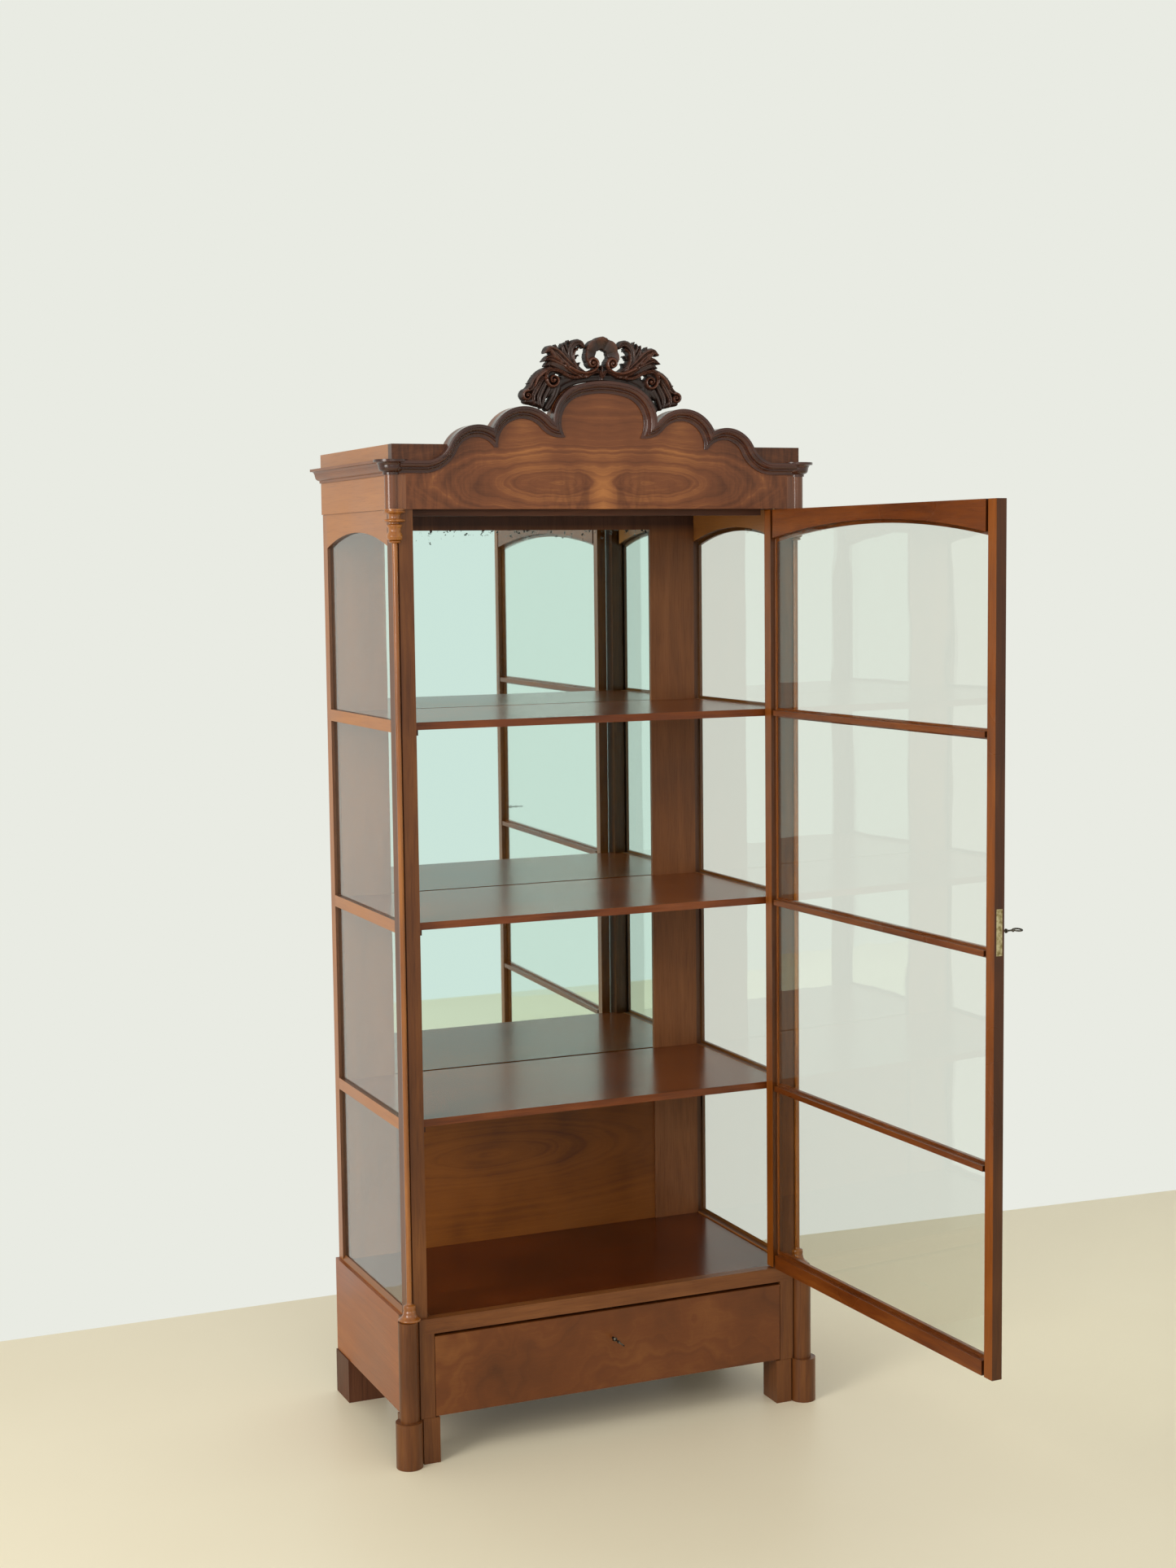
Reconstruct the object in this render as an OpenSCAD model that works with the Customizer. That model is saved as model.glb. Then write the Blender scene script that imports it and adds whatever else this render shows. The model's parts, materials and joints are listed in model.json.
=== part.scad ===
// Glazed display cabinet with one door, three shelves, a mirrored back and a drawer in the base.
// Millimetres. X runs to the cabinet's right, Y to its back, Z up from the floor.
// The origin is the floor corner of the left rear foot. The door stands open by door_open.

/* [Case] */
// Width of the base across its two sides
case_w = 830; // [740:10:1000]
// Depth from the back plane to the front of the base
case_d = 444; // [400:2:540]
// Height of the glazed body
body_h = 1491; // [1300:1:1790]
// Height of the base above the feet
base_h = 189; // [170:1:230]
// Height of the feet
foot_h = 87; // [60:1:120]
// Height of the frieze below the cornice
frieze_h = 61; // [50:1:90]
// Height of the cornice moulding
cornice_h = 27; // [22:1:36]
// Height of the boards above the cornice
attic_h = 28; // [20:1:40]
// How far the body stands in from the base, at the sides and the front
body_step = 7.5; // [4:0.5:10]
// Thickness of the side frames
side_t = 20; // [18:1:24]

/* [Corner posts] */
// Width of a corner post on the front
post_w = 35; // [32:1:42]
// Depth of a corner post on the side
post_d = 41; // [38:1:50]
// Radius of the slender shaft on each corner
shaft_r = 5; // [4:0.5:7]
// Radius of the turned urn at the head of each shaft
urn_r = 12.5; // [10:0.5:15]
// Radius of the discs above the urn and of the bell at the foot
disc_r = 19.5; // [17:0.5:23]
// Width of the sunk line beside each round corner
quirk = 2.5; // [2:0.5:4]

/* [Glazing] */
// Thickness of the panes
glass_t = 3; // [2:0.5:4]
// Depth of the step the panes sit in, and thickness of the lip they rest on
rebate = 7; // [5:0.5:8]
// Height of a side glazing bar on the outside
bar_h = 22.5; // [20:0.5:28]
// Gap round each pane
pane_gap = 0.5; // [0.3:0.1:1]

/* [Shelves] */
// Thickness of a shelf
shelf_t = 14; // [10:1:20]
// Gap between a shelf and the frames beside it
shelf_gap = 1.5; // [0.5:0.5:3]

/* [Door] */
// Angle the door stands open in the model
door_open = 93; // [0:1:120]
// Thickness of the door
door_t = 20; // [18:1:24]
// Width of the door's upright members
stile_w = 30; // [27:1:36]
// Height of the door's bottom rail
bottom_rail_h = 33; // [28:1:45]
// Gap at each side of the closed door
door_gap = 1.5; // [1.3:0.1:3]
// Gap above and below the door
door_gap_z = 2; // [1:0.5:4]
// Radius of the hinge pins
pin_r = 2; // [1.5:0.25:2.5]
// Radial clearance of a pin in the case
pin_clear = 0.05; // [0.02:0.01:0.09]
// Height of the lock face plate
lock_plate_h = 79; // [70:1:90]
// How far each bolt shoots
bolt_throw = 8; // [5:1:10]

/* [Drawer] */
// Gap at each side of the drawer
drawer_gap = 1.2; // [0.6:0.1:2]
// Gap above the drawer front
drawer_top_gap = 6; // [2:1:8]
// Thickness of the drawer front
drawer_front_t = 20; // [18:1:24]
// Thickness of the drawer sides and back
drawer_side_t = 12; // [9:1:14]

/* [Top] */
// Width of the moulding on the pediment
mould_w = 22; // [18:1:24]
// How far that moulding stands out from the board
mould_d = 17; // [12:1:22]
// Thickness of the crest carving
crest_t = 24; // [16:1:30]

/* [Hidden] */
$fn = 72;

// levels
z_base = foot_h;
z_body = z_base + base_h;
z_frieze = z_body + body_h;
z_cornice = z_frieze + frieze_h;
z_attic = z_cornice + cornice_h;
z_top = z_attic + attic_h;
shelf_pitch = round(body_h / 4.045 * 2) / 2;

// half widths and front planes
base_x = case_w / 2;
foot_x = base_x + 3;
body_x = base_x - body_step;
inner_x = body_x - side_t;
post_x = body_x - post_w;
frieze_x = body_x + 3.5;
base_y = -case_d;
body_y = base_y + body_step;
post_y = body_y + post_d;
frieze_y = body_y - 4;
ring_x = frieze_x - 0.5;
ring_y = frieze_y + 8;
round_x = body_x - 0.5;
round_y = body_y + 0.5;
wood_t = 20;
back_y = -24;

// pediment, drawn for an 830 wide case and scaled with the width; neighbouring arcs overlap by bite
ps = case_w / 830;
z_run = z_cornice + 25;
r_out = 63 * ps;
x_out = 250 * ps;
z_out = z_run + 2 * ps;
r_mid = 70 * ps;
x_mid = 160 * ps;
z_mid = z_run + 29 * ps;
r_cen = 72 * ps;
x_cen = 33 * ps;
z_cen = z_run + 71 * ps;
arch_drop = 120 * ps;
bite = 0.3;
r_arch = r_cen + sqrt(x_cen * x_cen + arch_drop * arch_drop) - bite;
r_sweep = 50 * ps;
z_sweep = z_run + r_sweep;
x_sweep = x_out + sqrt(pow(r_out + r_sweep, 2) - pow(z_sweep - z_out, 2));
r_valley = 31 * ps;
x_valley = 85 * ps;
z_valley = z_mid + sqrt(pow(r_mid + r_valley - bite, 2) - pow(x_mid - x_valley, 2));

// door
pin_in = 10;
pin_set = 5;
door_x = post_x - door_gap;
door_z0 = z_body + door_gap_z;
door_z1 = z_frieze - door_gap_z;
pin_x = door_x - pin_in;
pin_y = body_y + pin_set;
door_in_y = body_y + door_t;
lock_z = z_body + round(0.5165 * body_h);
lock_case_x = -door_x + 2;
key_x = -door_x + 10.5;

// drawer
well_x = post_x - 10;
rail_h = 29;
drawer_x = well_x - drawer_gap;
drawer_z0 = z_base + 2;
drawer_z1 = z_body - rail_h - drawer_top_gap;
drawer_in_y = base_y + drawer_front_t;
bearer_z = z_base + 13;
drawer_lock_z = drawer_z1 - 55;

mahogany = [0.46, 0.23, 0.12];
dark_mahogany = [0.24, 0.12, 0.08];
figured = [0.55, 0.30, 0.15];
brass = [0.72, 0.58, 0.32];
iron = [0.20, 0.19, 0.18];
clear = [0.80, 0.88, 0.86];
silver = [0.74, 0.88, 0.86];

// a colour, and the shift that puts the origin on the left rear foot's corner
module made_of(c) color(c) translate([foot_x, 0, 0]) children();

// the door's own pieces, drawn shut and swung open about the hinge pins
module swung() translate([pin_x, pin_y, 0]) rotate([0, 0, door_open]) translate([-pin_x, -pin_y, 0]) children();

module box(x0, x1, y0, y1, z0, z1) translate([x0, y0, z0]) cube([x1 - x0, y1 - y0, z1 - z0]);

module left() mirror([1, 0, 0]) children();

// a flat shape drawn in X and Z, given thickness from y0 towards the back
module upright(y0, t) translate([0, y0 + t, 0]) rotate([90, 0, 0]) linear_extrude(t) children();

// a flat shape drawn in Y and Z, given thickness from x0 to the right
module sideways(x0, t) translate([x0, 0, 0]) rotate([90, 0, 90]) linear_extrude(t) children();

module rod(x, y, r, z0, z1) translate([x, y, z0]) cylinder(r = r, h = z1 - z0);

// a round bar lying along Y from y0 to y1
module pin_along_y(x, z, r, y0, y1) translate([x, y1, z]) rotate([90, 0, 0]) cylinder(r = r, h = y1 - y0);

// plan of a corner block with a round corner and a sunk line each side of it
module corner_plan(x0, x1, y0, y1, cx, cy, r) {
    difference() {
        translate([x0, y0]) square([x1 - x0, y1 - y0]);
        translate([cx - r - quirk, y0]) square([quirk + r / 2, quirk + 2]);
        translate([x1 - quirk - 2, cy + r / 2]) square([quirk + 2, quirk + r / 2]);
        translate([cx, cy]) circle(r);
        translate([cx, y0 - 1]) square([x1 - cx + 1, cy - y0 + 1]);
    }
}

// feet

module front_foot() {
    linear_extrude(foot_h) {
        corner_plan(well_x - 8.5, foot_x, base_y - 1, base_y + 56, base_x - 1, base_y + 2, 25);
        translate([base_x - 1, base_y + 2]) circle(25);
    }
}

module foot_front_left() made_of(mahogany) left() front_foot();
module foot_front_right() made_of(mahogany) front_foot();

module rear_feet() made_of(dark_mahogany) {
    box(foot_x - 80, foot_x, -81, 0, 0, foot_h);
    left() box(foot_x - 80, foot_x, -81, 0, 0, foot_h);
}

// base

module base_post() {
    difference() {
        translate([0, 0, z_base]) linear_extrude(base_h) {
            corner_plan(well_x, base_x, base_y, post_y, base_x - 3, base_y + 4, 18.5);
            translate([base_x - 3, base_y + 4]) circle(18.5);
        }
        box(well_x - 1, post_x + 7, base_y - 1, drawer_in_y, z_body - rail_h, z_body + 1);
    }
}

module base_post_left() made_of(mahogany) left() base_post();
module base_post_right() made_of(mahogany) base_post();

module base_side() box(base_x - 22, base_x, post_y, 0, z_base, z_body);

module base_side_left() made_of(mahogany) left() base_side();
module base_side_right() made_of(mahogany) base_side();

module base_back() made_of(mahogany) box(22 - base_x, base_x - 22, -20, -2, z_base, z_body - 14);

module runner() {
    x1 = base_x - 22;
    box(well_x - 18, x1, post_y, -20, bearer_z - 12, bearer_z);
    box(well_x, x1, post_y, -20, bearer_z, bearer_z + 28);
}

module runner_left() made_of(mahogany) left() runner();
module runner_right() made_of(mahogany) runner();

module front_rail() made_of(mahogany) {
    difference() {
        box(-post_x - 7, post_x + 7, base_y, drawer_in_y, z_body - rail_h, z_body);
        rod(pin_x, pin_y, pin_r + pin_clear, z_body - 11, z_body + 1);
        box(-8, 8, base_y + 13, base_y + 19, z_body - rail_h - 1, z_body - rail_h + 13);
    }
}

module floor_board() made_of(mahogany) {
    difference() {
        box(22 - base_x, base_x - 22, drawer_in_y, -2, z_body - 14, z_body);
        box(well_x, base_x, base_y, post_y, z_base, z_body + 1);
        box(-base_x, -well_x, base_y, post_y, z_base, z_body + 1);
    }
}

// drawer

module drawer_front() made_of(figured) {
    difference() {
        box(-drawer_x, drawer_x, base_y, drawer_in_y, drawer_z0, drawer_z1);
        box(-25, 25, base_y + 12, drawer_in_y + 1, drawer_z1 - 70, drawer_z1 + 1);
        pin_along_y(0, drawer_lock_z, 2.6, base_y - 1, base_y + 13);
        box(-0.9, 0.9, base_y - 1, base_y + 13, drawer_lock_z - 7, drawer_lock_z);
        box(6 - drawer_x, drawer_x - 6, drawer_in_y - 6, drawer_in_y + 1, bearer_z + 8, bearer_z + 15);
    }
}

module drawer_side() {
    difference() {
        box(drawer_x - drawer_side_t, drawer_x, drawer_in_y, -60, bearer_z + 0.5, drawer_z1 - 10);
        box(drawer_x - drawer_side_t - 1, drawer_x - 6, drawer_in_y - 1, -59, bearer_z + 8, bearer_z + 15);
    }
}

module drawer_sides() made_of(mahogany) {
    drawer_side();
    left() drawer_side();
}

module drawer_back() made_of(mahogany)
    box(drawer_side_t - drawer_x, drawer_x - drawer_side_t, -60 - drawer_side_t, -60, bearer_z + 15, drawer_z1 - 16);

module drawer_bottom() made_of(mahogany)
    box(6 - drawer_x, drawer_x - 6, drawer_in_y - 6, -60, bearer_z + 8, bearer_z + 15);

module drawer_lock() made_of(iron) {
    difference() {
        box(-25, 25, base_y + 12, base_y + 22, drawer_z1 - 70, drawer_z1);
        box(-6.1, 6.1, base_y + 13.9, base_y + 18.1, drawer_z1 - 24, drawer_z1 + 1);
        pin_along_y(0, drawer_lock_z, 8, base_y + 13, base_y + 20);
        pin_along_y(0, drawer_lock_z, 2.6, base_y + 11, base_y + 14);
        box(-0.9, 0.9, base_y + 11, base_y + 14, drawer_lock_z - 7, drawer_lock_z);
    }
}

module drawer_bolt() made_of(brass) box(-6, 6, base_y + 14, base_y + 18, drawer_z1 - 23, drawer_z1 - 0.5);

// a key along Y: bit inside the lock, shaft, collar and a ring to turn it by
module key(x, z, y_face, depth) {
    pin_along_y(x, z, 2.1, y_face - 28, y_face + depth);
    box(x - 0.7, x + 0.7, y_face + depth - 4.4, y_face + depth - 0.4, z - 6, z);
    pin_along_y(x, z, 3.4, y_face - 12, y_face - 10);
    pin_along_y(x, z, 3, y_face - 28, y_face - 25);
}

module key_ring(x, z, y, turn) {
    translate([x, y, z]) rotate([0, turn, 0]) rotate_extrude() translate([7, 0]) circle(1.5);
}

module drawer_key() made_of(iron) {
    key(0, drawer_lock_z, base_y, 18);
    key_ring(0, drawer_lock_z, base_y - 36, 40);
}

// glazed sides

module corner_post() {
    strike_x = post_x + bolt_throw + 3;
    difference() {
        translate([0, 0, z_body]) linear_extrude(body_h) difference() {
            corner_plan(post_x, body_x, body_y, post_y, round_x, round_y, shaft_r);
            translate([post_x - 1, post_y - rebate]) square([body_x - post_x - 5, rebate + 1]);
        }
        box(post_x - 1, strike_x, body_y + 7, body_y + 13, lock_z + 14, lock_z + 26);
    }
}

module corner_post_left() made_of(mahogany) left() corner_post();

module corner_post_right() made_of(mahogany)
    translate([0, 0, z_body]) linear_extrude(body_h) difference() {
        corner_plan(post_x, body_x, body_y, post_y, round_x, round_y, shaft_r);
        translate([post_x - 1, post_y - rebate]) square([body_x - post_x - 5, rebate + 1]);
    }

// turned column on the corner: bell and ring at the foot, urn and discs at the head
module column() {
    a = z_body;
    b = z_frieze;
    s = shaft_r;
    difference() {
        translate([round_x, round_y, 0]) rotate_extrude() polygon([
            [0, a], [disc_r, a], [disc_r, a + 5], [disc_r - 2, a + 9], [urn_r + 1, a + 15], [urn_r - 2, a + 20],
            [urn_r - 0.5, a + 21], [urn_r - 0.5, a + 29], [s + 2, a + 31], [s, a + 33], [s, b - 60],
            [urn_r - 0.5, b - 58], [urn_r - 0.5, b - 54], [s + 3, b - 52.5], [urn_r + 1.5, b - 48],
            [urn_r + 1.5, b - 44], [urn_r - 2, b - 38], [urn_r - 0.5, b - 30], [urn_r - 1, b - 24],
            [disc_r - 1.5, b - 22], [disc_r - 1.5, b - 16], [urn_r, b - 14], [urn_r + 2, b - 8],
            [disc_r, b - 6], [disc_r, b - 1.5], [disc_r - 1, b], [0, b]
        ]);
        translate([0, 0, a - 1]) linear_extrude(b - a + 2)
            corner_plan(post_x, body_x, body_y, post_y, round_x, round_y, s);
    }
}

module column_left() made_of(mahogany) left() column();
module column_right() made_of(mahogany) column();

// rear upright of a side, stepped on the inside for the panes
module rear_stile() {
    translate([0, 0, z_body]) linear_extrude(body_h) polygon([
        [inner_x, 0], [body_x, 0], [body_x, -26], [body_x - 6, -26], [body_x - 6, -26 + rebate], [inner_x, -26 + rebate]
    ]);
}

module rear_stile_left() made_of(mahogany) left() rear_stile();
module rear_stile_right() made_of(mahogany) rear_stile();

// opening of a side, seen from the side: straight jambs and an arched head
side_mid = (post_y - 26) / 2;
side_half = (-26 - post_y) / 2;
side_rise = 27;
side_r = (side_half * side_half + side_rise * side_rise) / (2 * side_rise);
side_head = z_frieze - 65;

module side_arch(grow) translate([side_mid, side_head + side_rise - side_r]) circle(side_r + grow, $fn = 180);

module arch_rail() {
    difference() {
        box(inner_x, body_x, post_y, -26, side_head, z_frieze);
        sideways(inner_x - 1, side_t + 2) side_arch(0);
        sideways(inner_x - 1, side_t - 5) side_arch(rebate);
    }
}

module arch_rail_left() made_of(mahogany) left() arch_rail();
module arch_rail_right() made_of(mahogany) arch_rail();

function bar_z(k) = z_body + k * shelf_pitch - 6;

// three T bars and the sill, each with its lip on the outside
module side_rails() {
    lip_x = body_x - 6;
    for (k = [1:3]) {
        box(lip_x, body_x, post_y, -26, bar_z(k) - bar_h / 2, bar_z(k) + bar_h / 2);
        box(inner_x, lip_x, post_y, -26, bar_z(k) - bar_h / 2 + 5, bar_z(k) + bar_h / 2 - 5);
    }
    translate([0, -26, 0]) rotate([90, 0, 0]) linear_extrude(-26 - post_y) polygon([
        [inner_x, z_body], [body_x, z_body], [body_x, z_body + 2], [lip_x, z_body + 10],
        [lip_x, z_body + 3], [inner_x, z_body + 3]
    ]);
}

module side_rails_left() made_of(mahogany) left() side_rails();
module side_rails_right() made_of(mahogany) side_rails();

// four panes lying against the lips from inside
module side_panes() {
    y0 = post_y - rebate + pane_gap;
    y1 = -26 + rebate - pane_gap;
    x0 = body_x - 6 - glass_t;
    low = [z_body + 3 + pane_gap, bar_z(1) + bar_h / 2 - 5 + pane_gap, bar_z(2) + bar_h / 2 - 5 + pane_gap];
    for (k = [1:3]) box(x0, x0 + glass_t, y0, y1, low[k - 1], bar_z(k) - bar_h / 2 + 5 - pane_gap);
    sideways(x0, glass_t) intersection() {
        translate([y0, bar_z(3) + bar_h / 2 - 5 + pane_gap]) square([y1 - y0, z_frieze - bar_z(3)]);
        side_arch(rebate - pane_gap);
    }
}

module side_glass_left() made_of(clear) left() side_panes();
module side_glass_right() made_of(clear) side_panes();

// back: two boards and a top rail with a step behind for the mirror and the lower panel

mirror_x = inner_x - 100;

module back_frame() made_of(mahogany) {
    for (s = [0, 1]) mirror([s, 0, 0]) {
        box(mirror_x, inner_x, back_y, back_y + 4, z_body, z_frieze);
        box(mirror_x + 7, inner_x, back_y + 4, -6, z_body, z_frieze);
    }
    box(-mirror_x, mirror_x, back_y, back_y + 4, z_frieze - 32, z_frieze);
    box(-mirror_x - 7, mirror_x + 7, back_y + 4, -6, z_frieze - 25, z_frieze);
}

mirror_z = z_body + shelf_pitch - shelf_t;

module mirror_glass() made_of(silver)
    box(-mirror_x - 7, mirror_x + 7, back_y + 4, back_y + 8, mirror_z, z_frieze - 25);

module mirror_back() made_of(dark_mahogany)
    box(-mirror_x - 7, mirror_x + 7, back_y + 8, -6, mirror_z, z_frieze - 25);

module lower_panel() made_of(figured) box(-mirror_x - 7, mirror_x + 7, back_y + 4, -6, z_body, mirror_z);

// shelves

module shelf(k) {
    z1 = z_body + k * shelf_pitch;
    x1 = inner_x - shelf_gap;
    y0 = door_in_y + 6;
    difference() {
        box(-x1, x1, y0, back_y - 1, z1 - shelf_t, z1);
        box(post_x - shelf_gap, x1 + 1, y0 - 1, post_y + shelf_gap, z1 - shelf_t - 1, z1 + 1);
        box(-x1 - 1, shelf_gap - post_x, y0 - 1, post_y + shelf_gap, z1 - shelf_t - 1, z1 + 1);
    }
}

module shelf_lower() made_of(mahogany) shelf(1);
module shelf_middle() made_of(mahogany) shelf(2);
module shelf_upper() made_of(mahogany) shelf(3);

module shelf_cleats() made_of(dark_mahogany) {
    for (k = [1:3]) for (s = [0, 1]) mirror([s, 0, 0]) {
        z = z_body + k * shelf_pitch - shelf_t;
        box(post_x - 12, post_x, door_in_y + 6, post_y - rebate, z - 10, z);
        box(mirror_x + 20, inner_x - 5, back_y - 10, back_y, z - 10, z);
    }
}

// head of the cabinet

module head_board() made_of(dark_mahogany) {
    difference() {
        box(wood_t - frieze_x, frieze_x - wood_t, frieze_y + wood_t, -6, z_frieze, z_frieze + 18);
        box(body_x - 22.5, body_x, frieze_y, frieze_y + 27, z_frieze - 1, z_frieze + 19);
        box(-body_x, 22.5 - body_x, frieze_y, frieze_y + 27, z_frieze - 1, z_frieze + 19);
    }
    box(-post_x + 2, pin_x - 20, door_in_y + 0.5, door_in_y + 16, z_frieze - 12, z_frieze);
}

module top_back() made_of(dark_mahogany)
    box(wood_t - frieze_x, frieze_x - wood_t, -22, -6, z_frieze + 18, z_top);

module top_side() {
    box(frieze_x - wood_t, frieze_x, frieze_y + 26.5, -4, z_frieze, z_cornice);
    box(frieze_x - wood_t, frieze_x, frieze_y + wood_t, -4, z_cornice, z_top);
}

module top_side_left() made_of(mahogany) left() top_side();
module top_side_right() made_of(mahogany) top_side();

// short turned columns on the corners of the frieze
module frieze_column() {
    translate([0, 0, z_frieze]) linear_extrude(frieze_h) {
        translate([body_x - 22, frieze_y]) square([frieze_x - body_x + 22, 26.5]);
        translate([ring_x, ring_y]) circle(12);
    }
}

module frieze_columns() made_of(mahogany) {
    frieze_column();
    left() frieze_column();
}

// lobed outline of the pediment, moved in by d
module half_outline(d) {
    translate([0, z_frieze]) square([frieze_x, z_run - d - z_frieze]);
    translate([x_out, z_out]) circle(r_out - d, $fn = 96);
    translate([x_mid, z_mid]) circle(r_mid - d, $fn = 96);
    translate([x_cen, z_cen]) circle(r_cen - d, $fn = 96);
    intersection() {
        translate([0, z_cen - arch_drop]) circle(r_arch - d, $fn = 180);
        translate([0, z_cen - arch_drop]) polygon([[0, 0], [2 * x_cen, 2 * arch_drop], [0, 2 * arch_drop]]);
    }
    translate([0, z_run - 30]) square([x_cen + 36 * ps, z_cen - z_run + 30]);
    translate([0, z_run - 30]) square([x_out, 30 + 25 * ps]);
    difference() {
        t = (r_valley + d) / (r_valley + r_mid);
        top = z_valley + (z_mid - z_valley) * t;
        translate([68 * ps, z_run]) square([x_valley + (x_mid - x_valley) * t - 68 * ps, top - z_run]);
        translate([x_valley, z_valley]) circle(r_valley + d, $fn = 72);
    }
    difference() {
        t = (r_sweep + d) / (r_out + r_sweep);
        top = z_sweep + (z_out - z_sweep) * t;
        translate([x_out, z_frieze]) square([x_sweep - x_out, top - z_frieze]);
        translate([x_sweep, z_sweep]) circle(r_sweep + d, $fn = 96);
    }
}

module outline(d) {
    half_outline(d);
    mirror([1, 0]) half_outline(d);
}

module pediment_board() made_of(figured) {
    x_end = body_x - 22;
    difference() {
        upright(frieze_y, wood_t) {
            difference() {
                outline(0);
                translate([x_end, z_frieze - 1]) square([60, frieze_h + 1]);
                translate([-x_end - 60, z_frieze - 1]) square([60, frieze_h + 1]);
            }
            for (s = [0, 1]) mirror([s, 0]) translate([x_out + 48 * ps, z_cornice])
                square([frieze_x - x_out - 48 * ps, z_top - z_cornice]);
        }
        rod(pin_x, pin_y, pin_r + pin_clear, z_frieze - 1, z_frieze + 11);
    }
}

// round break of the cornice over each corner column
module corner_ring() {
    translate([ring_x, ring_y, z_cornice]) rotate_extrude() polygon([
        [0, 0], [14.5, 0], [14.5, 4], [16.5, 6], [20, 10], [22, 14], [22, 17], [27, 19], [31, 22.5],
        [31, cornice_h], [0, cornice_h]
    ]);
}

module top_block() {
    box(-frieze_x, frieze_x, frieze_y, 0, z_frieze, z_top + 1);
}

module cornice() {
    difference() {
        union() {
            translate([0, -4, 0]) rotate([90, 0, 0]) linear_extrude(-4 - ring_y) polygon([
                [frieze_x, z_cornice], [frieze_x + 3, z_cornice], [frieze_x + 3, z_cornice + 4],
                [frieze_x + 7, z_cornice + 7], [frieze_x + 12, z_cornice + 14], [frieze_x + 12, z_cornice + 17],
                [frieze_x + 18, z_cornice + 19], [frieze_x + 22, z_cornice + 22.5],
                [frieze_x + 22, z_attic], [frieze_x, z_attic]
            ]);
            corner_ring();
        }
        top_block();
    }
}

module cornice_left() made_of(dark_mahogany) left() cornice();
module cornice_right() made_of(dark_mahogany) cornice();

module pediment_moulding() made_of(dark_mahogany) {
    difference() {
        for (step = [[1, 0.3], [0.78, 0.6], [0.56, 0.82], [0.32, 1]])
            upright(frieze_y - mould_d * step[1], mould_d * step[1]) difference() {
                outline(0);
                outline(mould_w * step[0]);
            }
        corner_ring();
        left() corner_ring();
        box(ring_x, body_x + 60, frieze_y - 60, frieze_y + 1, z_frieze, z_top);
        left() box(ring_x, body_x + 60, frieze_y - 60, frieze_y + 1, z_frieze, z_top);
    }
}

// carved crest: leaves, scrolls and a shell, pierced by five openings
module half_crest() {
    polygon([
        [0, 236], [14, 236], [22, 233], [28, 227], [34, 230], [44, 230], [52, 226], [62, 228], [64, 217],
        [72, 214], [80, 222], [86, 214], [94, 218], [102, 213], [104, 203], [96, 200], [104, 196],
        [113, 193], [108, 184], [100, 179], [106, 175], [117, 172], [128, 164], [136, 152], [140, 143],
        [146, 138], [152, 137], [158, 135], [162, 126], [158, 116], [150, 112], [138, 110], [126, 100],
        [110, 60], [0, 60]
    ]);
}

module crest() made_of(dark_mahogany) {
    upright(frieze_y - 8, crest_t) difference() {
        translate([0, z_run - 6 * ps]) scale(ps) for (s = [0, 1]) mirror([s, 0]) difference() {
            half_crest();
            translate([0, 200]) circle(10.5);
            translate([-4, 184]) square([8, 12]);
            translate([44, 206]) circle(9.5);
            translate([41, 196]) circle(9);
            translate([38, 187]) circle(8);
            translate([110, 122]) circle(5);
        }
        outline(0);
    }
    upright(frieze_y - 12, 5) translate([0, z_run - 6 * ps]) scale(ps) for (s = [0, 1]) mirror([s, 0]) {
        translate([18, 186]) circle(9);
        translate([94, 155]) circle(10);
        translate([149, 125]) circle(10);
    }
}

// door

module door_stile(x0, x1, lip) {
    linear_extrude(door_z1 - door_z0) {
        translate([x0, body_y]) square([x1 - x0, 7]);
        translate([x0 + lip[0], body_y + 7]) square([x1 - x0 - rebate, door_t - 7]);
    }
}

module door_hinge_stile() made_of(mahogany) swung() difference() {
    translate([0, 0, door_z0]) door_stile(door_x - stile_w, door_x, [rebate]);
    rod(pin_x, pin_y, pin_r, door_z0 - 1, door_z0 + 12);
    rod(pin_x, pin_y, pin_r, door_z1 - 12, door_z1 + 1);
}

module door_lock_stile() made_of(mahogany) swung() difference() {
    translate([0, 0, door_z0]) door_stile(-door_x, stile_w - door_x, [0]);
    box(-door_x - 1, lock_case_x, body_y + 4, body_y + 16, lock_z - lock_plate_h / 2, lock_z + lock_plate_h / 2);
    box(lock_case_x - 1, lock_case_x + 17.5, body_y + 5, body_y + 15, lock_z - 30, lock_z + 30);
    pin_along_y(key_x, lock_z, 2.6, body_y - 1, body_y + 6);
    box(key_x - 0.9, key_x + 0.9, body_y - 1, body_y + 6, lock_z - 7, lock_z);
    for (s = [-1, 1]) translate([lock_case_x - 1, body_y + 10, lock_z + s * 34]) rotate([0, 90, 0]) cylinder(r = 1.2, h = 9);
}

door_in_x = door_x - stile_w;
door_rise = 28;
door_r = (door_in_x * door_in_x + door_rise * door_rise) / (2 * door_rise);
door_head = z_frieze - 63;

module door_arch(grow) translate([0, door_head + door_rise - door_r]) circle(door_r + grow, $fn = 240);

module door_top_rail() made_of(mahogany) swung() difference() {
    box(-door_in_x, door_in_x, body_y, door_in_y, door_head, door_z1);
    upright(body_y - 1, door_t + 2) door_arch(0);
    upright(body_y + 7, door_t) door_arch(rebate);
}

module door_bottom_rail() made_of(mahogany) swung() {
    z1 = door_z0 + bottom_rail_h;
    box(-door_in_x, door_in_x, body_y, body_y + 7, door_z0, z1);
    box(-door_in_x, door_in_x, body_y + 7, door_in_y, door_z0, z1 - rebate);
}

module door_bars() made_of(mahogany) swung() {
    for (k = [1:3]) {
        box(-door_in_x, door_in_x, body_y, body_y + 7, bar_z(k) - 9, bar_z(k) + 9);
        box(-door_in_x, door_in_x, body_y + 7, door_in_y, bar_z(k) - 5, bar_z(k) + 5);
    }
}

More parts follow.
